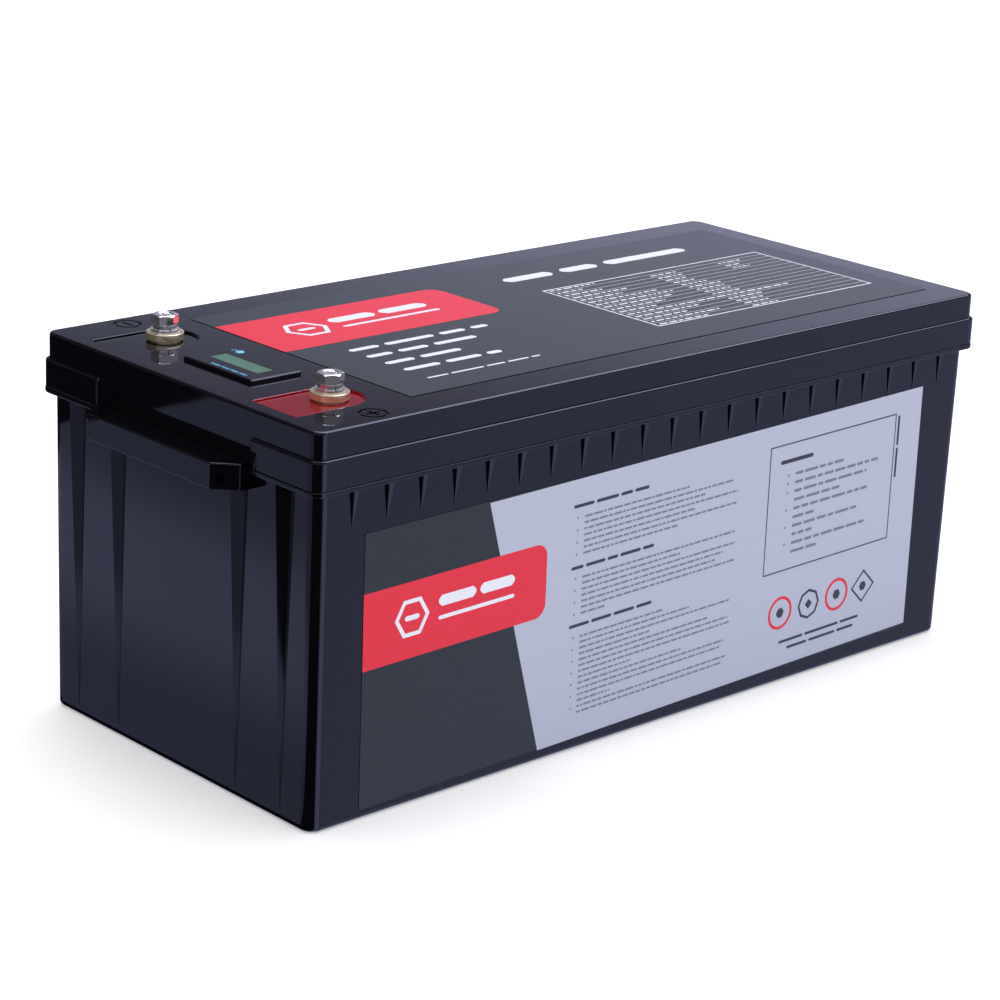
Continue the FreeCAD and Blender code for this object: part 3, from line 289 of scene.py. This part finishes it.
# ---- light --------------------------------------------------------------------------------
class Formula:
    """Short arithmetic on shader values, for light that depends on direction or place."""

    def __init__(self, tree):
        self.tree = tree

    def do(self, operation, *values):
        made = self.tree.nodes.new("ShaderNodeMath")
        made.operation = operation
        for socket, value in zip(made.inputs, values):
            if isinstance(value, (int, float)):
                socket.default_value = value
            else:
                self.tree.links.new(value, socket)
        return made.outputs[0]

    def step(self, value, ramp):
        """0 before the ramp's start and 1 after its end; it falls where the start is larger."""
        made = self.tree.nodes.new("ShaderNodeMapRange")
        made.interpolation_type = "SMOOTHSTEP"
        for key, number in zip(("From Min", "From Max"), ramp):
            made.inputs[key].default_value = number
        self.tree.links.new(value, made.inputs["Value"])
        return made.outputs["Result"]

    def product(self, first, *others):
        for other in others:
            first = self.do("MULTIPLY", first, other)
        return first

    def total(self, first, *others):
        for other in others:
            first = self.do("ADD", first, other)
        return first

    def axes(self, place):
        """The X, Y and Z of a place or direction."""
        parts = self.tree.nodes.new("ShaderNodeSeparateXYZ")
        self.tree.links.new(place, parts.inputs[0])
        return parts.outputs


# What glossy surfaces see, in degrees: around runs from +X to +Y, above is up from level.
# Each pair is one soft edge of a light, from where it is dark to where it is full.
LOW_LIGHT = 0.80
BELOW_LEVEL = (2.0, -4.0)
ABOVE_LEVEL = (-4.0, 2.0)
RIGHT_SIDE_AROUND = ((-112.0, -96.0), (80.0, 62.0))
FRONT_STRIP_AROUND = ((-110.0, -96.0), (-64.0, -78.0))
FRONT_STRIP_LIGHT = 1.1
HORIZON_TOP = (18.5, 11.0)
HORIZON_AROUND = (71.0, 36.0)
HORIZON_LIGHT = 0.95
SOFTBOX_ABOVE = ((33.0, 40.0), (88.0, 74.0))
SOFTBOX_AROUND = ((-80.0, -60.0), (75.0, 55.0))
SOFTBOX_LIGHT = 4.6
OVERHEAD_ABOVE = (56.0, 66.0)
OVERHEAD_LIGHT = 1.6
UPPER_GLOW = 0.10
DARK_LIGHT = 0.02
LOW_TINT = (0.56, 0.60, 1.0)
UPPER_TINT = (0.70, 0.72, 1.0)

SOFT_TINT = (0.97, 0.98, 1.0)
SOFT_LIGHT = 0.62
BACKDROP_TINT = (0.8, 0.8, 0.8)
BACKDROP_LIGHT = 1.0

# The card on the floor: X of its right edge, its bend and its left edge, Y of its sides.
CARD_X = (-0.262, -0.9, -2.6)
CARD_NEAR_Y = -0.10
CARD_FAR_Y = 0.56
CARD_TAPER = 0.7            # the far side's Y at the left edge, as a share of CARD_FAR_Y
CARD_GAP = 0.001            # from the foot of the case down to the card
CARD_LIGHT = 0.55
CARD_MIDDLE_LIGHT = 0.48
CARD_MIDDLE_X = ((-0.30, -0.41), (-0.57, -0.46))

LIGHT_AIM = (0, 0, 0.1)


def background(tree, tint, strength):
    """Background light; its strength is a number or a shader value."""
    light = tree.nodes.new("ShaderNodeBackground")
    light.inputs["Color"].default_value = (*tint, 1.0)
    if isinstance(strength, float):
        light.inputs["Strength"].default_value = strength
    else:
        tree.links.new(strength, light.inputs["Strength"])
    return light.outputs[0]


def studio_reflections(tree):
    """What glossy surfaces see: light low on the right, a dark side towards -X -Y, a softbox above."""
    f = Formula(tree)
    x, y, z = f.axes(tree.nodes.new("ShaderNodeTexCoord").outputs["Generated"])
    around = f.do("DEGREES", f.do("ARCTAN2", y, x))
    above = f.do("DEGREES", f.do("ARCSINE", z))

    low = f.step(above, BELOW_LEVEL)
    right_side = f.product(*(f.step(around, ramp) for ramp in RIGHT_SIDE_AROUND))
    front_strip = f.product(*(f.step(around, ramp) for ramp in FRONT_STRIP_AROUND), FRONT_STRIP_LIGHT)
    low_light = f.product(low, f.total(right_side, front_strip), LOW_LIGHT)

    upper = f.step(above, ABOVE_LEVEL)
    horizon = f.product(upper, f.step(above, HORIZON_TOP), f.step(around, HORIZON_AROUND), HORIZON_LIGHT)
    softbox = f.product(
        *(f.step(above, ramp) for ramp in SOFTBOX_ABOVE),
        *(f.step(around, ramp) for ramp in SOFTBOX_AROUND),
        SOFTBOX_LIGHT,
    )
    overhead = f.product(f.step(above, OVERHEAD_ABOVE), OVERHEAD_LIGHT)
    glow = f.product(upper, UPPER_GLOW)

    both = tree.nodes.new("ShaderNodeAddShader")
    upper_part = background(tree, UPPER_TINT, f.total(horizon, softbox, overhead, glow))
    low_part = background(tree, LOW_TINT, f.total(low_light, DARK_LIGHT))
    tree.links.new(upper_part, both.inputs[0])
    tree.links.new(low_part, both.inputs[1])
    return both.outputs[0]


def choose(tree, ray_kind, other, chosen):
    """One light for rays of a kind, and the other light for all the rest."""
    ray = tree.nodes.new("ShaderNodeLightPath")
    blend = tree.nodes.new("ShaderNodeMixShader")
    tree.links.new(ray.outputs[ray_kind], blend.inputs[0])
    tree.links.new(other, blend.inputs[1])
    tree.links.new(chosen, blend.inputs[2])
    return blend.outputs[0]


def make_world():
    """Soft even light, a pale backdrop for the camera, and the studio in reflections."""
    world = bpy.data.worlds.new("studio")
    scene.world = world
    world.use_nodes = True
    tree = world.node_tree
    tree.nodes.clear()
    out = tree.nodes.new("ShaderNodeOutputWorld")
    soft = background(tree, SOFT_TINT, SOFT_LIGHT)
    backdrop = background(tree, BACKDROP_TINT, BACKDROP_LIGHT)
    seen = choose(tree, "Is Camera Ray", soft, backdrop)
    shown = choose(tree, "Is Glossy Ray", seen, studio_reflections(tree))
    tree.links.new(shown, out.inputs["Surface"])


def make_card():
    """White card on the floor, left of the case and behind it; only reflections show it."""
    right, bend, left = CARD_X
    outline = [
        (right, CARD_NEAR_Y, 0.0),
        (right, CARD_FAR_Y, 0.0),
        (bend, CARD_FAR_Y, 0.0),
        (left, CARD_FAR_Y * CARD_TAPER, 0.0),
        (left, CARD_NEAR_Y, 0.0),
    ]
    card = add_mesh("card", outline, [tuple(range(len(outline)))])
    material = bpy.data.materials.new("card")
    material.use_nodes = True
    tree = material.node_tree
    tree.nodes.clear()
    f = Formula(tree)
    x, _, _ = f.axes(tree.nodes.new("ShaderNodeTexCoord").outputs["Object"])
    middle = f.product(*(f.step(x, ramp) for ramp in CARD_MIDDLE_X), CARD_MIDDLE_LIGHT)
    glow = tree.nodes.new("ShaderNodeEmission")
    glow.inputs["Color"].default_value = (*LOW_TINT, 1.0)
    tree.links.new(f.product(f.total(middle, CARD_LIGHT), LOW_LIGHT), glow.inputs["Strength"])
    out = tree.nodes.new("ShaderNodeOutputMaterial")
    tree.links.new(glow.outputs[0], out.inputs["Surface"])
    card.data.materials.append(material)
    card.location.z = cad_low.z - CARD_GAP
    card.visible_camera = False
    card.visible_diffuse = False
    card.visible_shadow = False
    card.visible_transmission = False


def area_light(name, place, size, power, color=(1, 1, 1)):
    """Rectangular lamp aimed at the case; the studio stands in for it in reflections."""
    data = bpy.data.lights.new(name, "AREA")
    data.shape = "RECTANGLE"
    data.size, data.size_y = size
    data.energy = power
    data.color = color
    light = bpy.data.objects.new(name, data)
    scene.collection.objects.link(light)
    light.location = place
    light.rotation_euler = (Vector(LIGHT_AIM) - Vector(place)).to_track_quat("-Z", "Y").to_euler()
    light.visible_glossy = False


def make_lights():
    area_light("overhead", place=(0.3, 0.2, 2.2), size=(2.4, 2.4), power=42.0)
    cool = (0.95, 0.97, 1.0)
    area_light("front_fill", place=(-0.3, -2.4, 1.0), size=(2.0, 1.2), power=9.0, color=cool)


# ---- printing: planes, shapes and words ---------------------------------------------------
# Printing is laid out in millimetres: u runs right and v up from the middle of its plane.
PRINT_SINK = 0.02           # how far printing reaches into the film
SILVER_LIFT = 0.02          # how far each layer of printing stands above the film
RED_LIFT = 0.03
TEXT_LIFT = 0.05
FILM_MARGIN = 0.06          # from the film's edge to printing that runs up to it
BAR_SOFTNESS = 0.35         # a bar's cut corners, as a share of its shorter side
ROUND_STEPS = 48            # sides of a printed circle
CORNER_STEPS = 10           # sides of a rounded corner

# How a line of words is drawn: bar height, shortest and longest word, and space between words.
Words = namedtuple("Words", "height shortest longest space")


class Plane:
    """A flat face to print on: millimetres along it and up it from its middle."""

    def __init__(self, middle, along, up):
        self.middle = Vector(middle)
        self.along = Vector(along).normalized()
        self.up = Vector(up).normalized()
        self.out = self.along.cross(self.up)

    def point(self, u, v, lift):
        return self.middle + (self.along * u + self.up * v + self.out * lift) * MM


def rectangle(u0, u1, v0, v1):
    return [(u0, v0), (u1, v0), (u1, v1), (u0, v1)]


def polygon(u, v, radius, corners):
    """Corners of a regular polygon, the first of them to the right of its middle."""
    turns = [2 * math.pi * k / corners for k in range(corners)]
    return [(u + radius * math.cos(turn), v + radius * math.sin(turn)) for turn in turns]


class Print:
    """Flat shapes on a plane, each one a thin closed slab, all in one look."""

    def __init__(self, name, plane, look, lift):
        self.name = name
        self.plane = plane
        self.look = look
        self.lift = lift
        self.vertices = []
        self.faces = []

    def slab(self, outline):
        """outline runs anticlockwise, seen from outside."""
        count = len(outline)
        first = len(self.vertices)
        for lift in (-PRINT_SINK, self.lift):
            self.vertices += [self.plane.point(u, v, lift) for u, v in outline]
        self.faces.append(tuple(first + i for i in reversed(range(count))))
        self.faces.append(tuple(first + count + i for i in range(count)))
        for i in range(count):
            j = (i + 1) % count
            self.faces.append((first + i, first + j, first + count + j, first + count + i))

    def loop(self, outer, inner):
        """A closed band between two outlines with as many points each."""
        count = len(outer)
        first = len(self.vertices)
        for lift in (-PRINT_SINK, self.lift):
            for outline in (outer, inner):
                self.vertices += [self.plane.point(u, v, lift) for u, v in outline]
        low_out, low_in, high_out, high_in = (first + count * k for k in range(4))
        for i in range(count):
            j = (i + 1) % count
            self.faces.append((high_out + i, high_out + j, high_in + j, high_in + i))
            self.faces.append((low_out + j, low_out + i, low_in + i, low_in + j))
            self.faces.append((low_out + i, low_out + j, high_out + j, high_out + i))
            self.faces.append((low_in + j, low_in + i, high_in + i, high_in + j))

    def bar(self, u0, u1, v, height):
        """Word-like bar with softened ends."""
        soft = min(height, u1 - u0) * BAR_SOFTNESS
        foot = v - height / 2
        top = v + height / 2
        self.slab([
            (u0 + soft, foot), (u1 - soft, foot), (u1, foot + soft), (u1, top - soft),
            (u1 - soft, top), (u0 + soft, top), (u0, top - soft), (u0, foot + soft),
        ])

    def words(self, u0, u1, v, style, rng):
        """Bars of uneven length that stand for one line of text."""
        u = u0
        while u < u1 - style.shortest / 2:
            length = min(rng.uniform(style.shortest, style.longest), u1 - u)
            self.bar(u, u + length, v, style.height)
            u += length + style.space

    def frame(self, u0, u1, v0, v1, line):
        outer = rectangle(u0, u1, v0, v1)
        inner = rectangle(u0 + line, u1 - line, v0 + line, v1 - line)
        self.loop(outer, inner)

    def ring(self, u, v, radius, line, corners=ROUND_STEPS):
        """Outline of a circle, or of a regular polygon where corners is small."""
        self.loop(polygon(u, v, radius, corners), polygon(u, v, radius - line, corners))

    def tab(self, u0, u1, v0, v1, radius):
        """Block that is square at its left end, with round corners at its right."""
        outline = [(u0, v0)]
        for middle_v, start in ((v0 + radius, -90), (v1 - radius, 0)):
            for k in range(CORNER_STEPS + 1):
                turn = math.radians(start + 90 * k / CORNER_STEPS)
                outline.append((u1 - radius + radius * math.cos(turn), middle_v + radius * math.sin(turn)))
        outline.append((u0, v1))
        self.slab(outline)

    def emblem(self, u, v, size):
        """Plain mark: a hexagon outline with a short bar across its middle."""
        line = size * 0.22
        half_bar = size * 0.42
        bar_height = size * 0.24
        self.ring(u, v, size, line, corners=6)
        self.bar(u - half_bar, u + half_bar, v, bar_height)

    def finish(self, body="case"):
        """Make the piece and let it ride on its body."""
        piece = add_mesh(self.name, self.vertices, self.faces)
        piece.data.materials.append(self.look.material)
        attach(piece, body)


# ---- the side label -----------------------------------------------------------------------
SIDE_SEED = 24
SIDE_HALF_SIZE = (221.5, 76.85)             # half the film's width and height
SIDE_SILVER_LEFT = (-93.0, -135.0)          # the slanting left edge of the silver, foot and top
SIDE_BAND_RIGHT = -91.3
SIDE_BAND_V = (2.4, 45.2)
SIDE_BAND_CORNER = 8.0
SIDE_EMBLEM = (-188.0, 25.0, 12.0)          # u, v and size
SIDE_NAME_BARS = (                          # left, right, v and height
    (-169.5, -143.0, 29.6, 6.2),
    (-140.0, -115.0, 29.6, 6.2),
    (-169.5, -115.0, 20.2, 2.2),
)

HEADING = Words(height=1.9, shortest=7.0, longest=19.0, space=1.8)
HEADING_LEFT = -72.5
HEADINGS = ((61.2, -14.0), (25.3, -8.0), (-9.0, -6.0))      # v and right end
PARAGRAPH = Words(height=1.25, shortest=1.8, longest=7.0, space=0.65)
PARAGRAPH_LEFT = -64.0
PARAGRAPHS = (                              # v of the first and last row, right end of each row
    (54.3, 33.0, (19, 56, 33, 60, 24, 59, 11)),
    (19.0, -2.3, (59, 14, 60, 50, 44, 60, -44)),
    (-16.0, -61.5, (2, 24, 58, -8, 40, 57, 59, -22, 20, 55, 52, -38, 58, 54)),
)
BULLET_U = -69.0
BULLET = (0.7, 0.55)                        # radius and line of a bullet
BULLET_CORNERS = 12

BOX = (86.0, 198.5, -15.8, 63.8)            # left, right, foot and top
BOX_LINE = 0.8
BOX_TITLE = Words(height=2.4, shortest=28.0, longest=29.0, space=1.1)
BOX_TITLE_U = (95.5, 124.0)
BOX_TITLE_V = 52.7
BOX_ROW = Words(height=1.8, shortest=4.0, longest=13.0, space=1.3)
BOX_ROW_LEFT = 109.0
BOX_ROW_ENDS = (152, 184, 174, 150, 178, 128, 167, 127, 175, 132)
BOX_ROW_TOP = 43.8
BOX_ROW_PITCH = 5.4
BOX_BULLET_ROWS = (0, 1, 2, 4, 6, 8)
BOX_BULLET_U = 103.0
BOX_BULLET = (0.8, 0.6)

POLYGON_SIGNS = (                           # u, outline radius, its corners, the dot's corners
    (129.0, 9.6, 8, 4),
    (178.6, 10.8, 4, 6),
)
POLYGON_SIGN_V = -42.4
POLYGON_SIGN_LINE = 1.7
POLYGON_SIGN_DOT = (3.2, 3.0)               # radius and line, which leave a tiny hole
ROUND_SIGNS_U = (103.6, 154.4)
ROUND_SIGN_V = -42.3
ROUND_SIGN = (10.4, 1.9)
ROUND_SIGN_DOT = (3.4, 3.2)
ROUND_SIGN_DOT_CORNERS = 6

FOOT_LINE = Words(height=1.7, shortest=12.0, longest=32.0, space=2.0)
FOOT_LINES = ((104.0, 179.0, -61.4), (111.5, 172.0, -66.3))     # left, right and v
EDGE_BARS_U = (200.2, 202.0)
EDGE_BARS_V = ((23.0, 41.5), (43.5, 62.0))


def side_label_plane():
    """The label's outer face, from the large face of its mesh that looks along -Y.

    Up runs between the film's outermost points. They lie on its rounded corners, so that the
    printing leans about 0.4 degrees more than the film does.
    """
    mesh = nodes["side_label"].data
    outer = max((p for p in mesh.polygons if p.normal.y < -0.9), key=lambda p: p.area)
    normal = outer.normal.copy()
    corners = [vertex.co for vertex in mesh.vertices]
    lower_right = max(corners, key=lambda corner: corner.x)
    upper_right = max(corners, key=lambda corner: corner.z)
    along = (upper_right - lower_right).cross(normal)
    low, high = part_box("side_label")
    middle = (low + high) / 2
    middle.y -= (middle - outer.center).dot(normal) / normal.y
    return Plane(middle, along, normal.cross(along))


def print_side_colors(plane):
    """The silver field, and the red band that runs in from the left with its emblem."""
    half_u, half_v = SIDE_HALF_SIZE
    left = FILM_MARGIN - half_u
    right = half_u - FILM_MARGIN
    foot = FILM_MARGIN - half_v
    top = half_v - FILM_MARGIN
    foot_left, top_left = SIDE_SILVER_LEFT
    silver = Print("side_label_silver", plane, INKS["silver"], SILVER_LIFT)
    silver.slab([(foot_left, foot), (right, foot), (right, top), (top_left, top)])
    silver.finish()
    red = Print("side_label_red", plane, INKS["red"], RED_LIFT)
    red.tab(left, SIDE_BAND_RIGHT, *SIDE_BAND_V, SIDE_BAND_CORNER)
    red.finish()
    white = Print("side_label_white", plane, INKS["white"], TEXT_LIFT)
    white.emblem(*SIDE_EMBLEM)
    for bar in SIDE_NAME_BARS:
        white.bar(*bar)
    white.finish()


def add_paragraphs(black, grey, rng):
    """Three headings in black, each over a paragraph in grey with a bullet at every other row."""
    for v, end in HEADINGS:
        black.words(HEADING_LEFT, end, v, HEADING, rng)
    for first, last, ends in PARAGRAPHS:
        pitch = (last - first) / (len(ends) - 1)
        for row, end in enumerate(ends):
            v = first + pitch * row
            grey.words(PARAGRAPH_LEFT, end, v, PARAGRAPH, rng)
            if row % 2 == 0:
                grey.ring(BULLET_U, v, *BULLET, BULLET_CORNERS)


def add_box(black, grey, rng):
    """Framed list at the right, with a title in black and its rows in grey."""
    black.frame(*BOX, BOX_LINE)
    black.words(*BOX_TITLE_U, BOX_TITLE_V, BOX_TITLE, rng)
    for row, end in enumerate(BOX_ROW_ENDS):
        v = BOX_ROW_TOP - row * BOX_ROW_PITCH
        grey.words(BOX_ROW_LEFT, end, v, BOX_ROW, rng)
        if row in BOX_BULLET_ROWS:
            grey.ring(BOX_BULLET_U, v, *BOX_BULLET, BULLET_CORNERS)


def print_side_text(plane):
    """Everything in black and grey, and the two red rings among the signs."""
    rng = random.Random(SIDE_SEED)
    black = Print("side_label_text", plane, INKS["black"], TEXT_LIFT)
    grey = Print("side_label_body_text", plane, INKS["grey"], TEXT_LIFT)
    add_paragraphs(black, grey, rng)
    add_box(black, grey, rng)
    grey.finish()
    for u, radius, corners, dot_corners in POLYGON_SIGNS:
        black.ring(u, POLYGON_SIGN_V, radius, POLYGON_SIGN_LINE, corners)
        black.ring(u, POLYGON_SIGN_V, *POLYGON_SIGN_DOT, dot_corners)
    for u in ROUND_SIGNS_U:
        black.ring(u, ROUND_SIGN_V, *ROUND_SIGN_DOT, ROUND_SIGN_DOT_CORNERS)
    for left, right, v in FOOT_LINES:
        black.words(left, right, v, FOOT_LINE, rng)
    for span in EDGE_BARS_V:
        black.slab(rectangle(*EDGE_BARS_U, *span))
    black.finish()
    red = Print("side_label_rings", plane, INKS["red"], TEXT_LIFT)
    for u in ROUND_SIGNS_U:
        red.ring(u, ROUND_SIGN_V, *ROUND_SIGN)
    red.finish()


# ---- the top label ------------------------------------------------------------------------
TOP_SEED = 8
TOP_BAND_RIGHT = -14.8
TOP_BAND_V = (9.2, 71.8)
TOP_BAND_CORNER = 9.0
TOP_EMBLEM = (-137.0, 40.5, 14.5)           # u, v and size
TOP_NAME_BARS = (                           # left, right, v and height
    (-116.0, -83.0, 46.5, 9.0),
    (-78.5, -44.0, 46.5, 9.0),
    (-116.0, -44.0, 33.5, 3.0),
)
TOP_TEXT_LEFT = -147.0
KIND_LINE = Words(height=4.4, shortest=16.0, longest=36.0, space=5.0)
KIND_LINES = ((-8.4, -45.5), (-23.2, -67.5), (-38.6, -92.5), (-53.8, -76.5))    # v and right end
SMALL_LINE = Words(height=1.7, shortest=12.0, longest=26.0, space=2.2)
SMALL_LINE_V = -72.5
SMALL_LINE_RIGHT = -65.0
TITLE_BARS = ((33.0, 72.0), (80.0, 110.0), (118.0, 188.0))
TITLE_V = 61.5
TITLE_HEIGHT = 9.0

TABLE_U = (35.5, 222.5)
TABLE_V = (-65.8, 31.4)
TABLE_LINE = 1.1
RULE_INSET = 0.9            # from the frame's outer edge to a rule's end, which is inside its line
RULE_HALF = 0.16
ENTRY = Words(height=1.7, shortest=2.4, longest=8.0, space=1.3)
ENTRY_LEFT = 39.0
ENTRY_ENDS = (76, 60, 70, 86, 74, 98, 104, 96, 84, 70, 178, 92, 78, 96, 80)
VALUE = Words(height=1.6, shortest=2.4, longest=7.0, space=1.2)
VALUE_LEFT = 118.0
VALUE_WIDTH = (16, 34)
ROWS_WITHOUT_VALUE = (0, 10)
NOTE = Words(height=1.5, shortest=2.4, longest=7.0, space=1.2)
NOTE_LEFT = 178.0
NOTE_WIDTH = (12, 26)
ROWS_WITH_NOTE = (1, 2, 3)


def add_table(white, rng):
    """Ruled table: an entry in each row, a value in most rows and a note in a few."""
    white.frame(*TABLE_U, *TABLE_V, TABLE_LINE)
    left, right = TABLE_U
    foot, top = TABLE_V
    rows = len(ENTRY_ENDS)
    pitch = (top - foot) / rows
    for row in range(1, rows):
        v = top - row * pitch
        white.slab(rectangle(left + RULE_INSET, right - RULE_INSET, v - RULE_HALF, v + RULE_HALF))
    for row, end in enumerate(ENTRY_ENDS):
        v = top - (row + 0.5) * pitch
        white.words(ENTRY_LEFT, end, v, ENTRY, rng)
        if row not in ROWS_WITHOUT_VALUE:
            white.words(VALUE_LEFT, VALUE_LEFT + rng.uniform(*VALUE_WIDTH), v, VALUE, rng)
        if row in ROWS_WITH_NOTE:
            white.words(NOTE_LEFT, NOTE_LEFT + rng.uniform(*NOTE_WIDTH), v, NOTE, rng)


def print_top_label():
    rng = random.Random(TOP_SEED)
    low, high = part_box("top_label")
    plane = Plane((0, 0, high.z), (1, 0, 0), (0, 1, 0))
    red = Print("top_label_red", plane, INKS["red"], RED_LIFT)
    red.tab(low.x / MM + FILM_MARGIN, TOP_BAND_RIGHT, *TOP_BAND_V, TOP_BAND_CORNER)
    red.finish()
    white = Print("top_label_white", plane, INKS["white"], TEXT_LIFT)
    white.emblem(*TOP_EMBLEM)
    for bar in TOP_NAME_BARS:
        white.bar(*bar)
    for v, end in KIND_LINES:
        white.words(TOP_TEXT_LEFT, end, v, KIND_LINE, rng)
    white.words(TOP_TEXT_LEFT, SMALL_LINE_RIGHT, SMALL_LINE_V, SMALL_LINE, rng)
    for left, right in TITLE_BARS:
        white.bar(left, right, TITLE_V, TITLE_HEIGHT)
    add_table(white, rng)
    white.finish()


# ---- the display and the bolt heads -------------------------------------------------------
DISPLAY_SEED = 5
LEGEND = Words(height=1.4, shortest=3.0, longest=8.0, space=1.0)
LEGEND_U = (-21.0, 11.5)
LEGEND_GAP = 7.3            # from the screen's -X edge to the middle of the legend
ICON_OFFSET = 5.2           # from the button's middle to the icon beside it
ICON = (1.5, 0.5)           # radius and line
ICON_CORNERS = 24

MARK_COUNT = 6
MARK_START = 20             # degrees from +X to the first mark
MARK_REACH = (1.3, 3.2)     # from the bolt's axis to a mark's two ends
MARK_WIDTH = 0.6
MARK_LIFT = 0.3
DISH_DEPTH = 0.5            # from a bolt head's top face down to its dish


def print_display():
    """The blue legend on the bezel, on the screen's -X side, and the icon beside the button."""
    rng = random.Random(DISPLAY_SEED)
    bezel_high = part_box("display_bezel")[1]
    screen_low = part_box("display_screen")[0]
    button_low, button_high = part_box("display_button")
    button = (button_low + button_high) / 2 / MM
    plane = Plane((0, 0, bezel_high.z), (0, 1, 0), (-1, 0, 0))
    blue = Print("display_legend", plane, INKS["blue"], TEXT_LIFT)
    blue.words(*LEGEND_U, LEGEND_GAP - screen_low.x / MM, LEGEND, rng)
    blue.ring(button.y + ICON_OFFSET, -button.x, *ICON, ICON_CORNERS)
    blue.finish()


def raise_bolt_marks(bolt):
    """Short raised strokes in the dish of a bolt's head."""
    low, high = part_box(bolt)
    middle = (low + high) / 2
    middle.z = high.z - DISH_DEPTH * MM
    for index in range(MARK_COUNT):
        turn = math.radians(360 * index / MARK_COUNT + MARK_START)
        along = Vector((math.cos(turn), math.sin(turn), 0))
        plane = Plane(middle, along, Vector((0, 0, 1)).cross(along))
        stroke = Print("%s_mark_%d" % (bolt, index + 1), plane, MATERIALS["plated_steel"], MARK_LIFT)
        stroke.bar(*MARK_REACH, 0.0, MARK_WIDTH)
        stroke.finish(bolt)


# ---- the whole scene ----------------------------------------------------------------------
dress_nodes()
side_plane = side_label_plane()
print_side_colors(side_plane)
print_side_text(side_plane)
print_top_label()
print_display()
raise_bolt_marks("positive_bolt")
raise_bolt_marks("negative_bolt")

make_camera()
make_floor()
make_world()
make_card()
make_lights()
scene.view_settings.view_transform = "Standard"
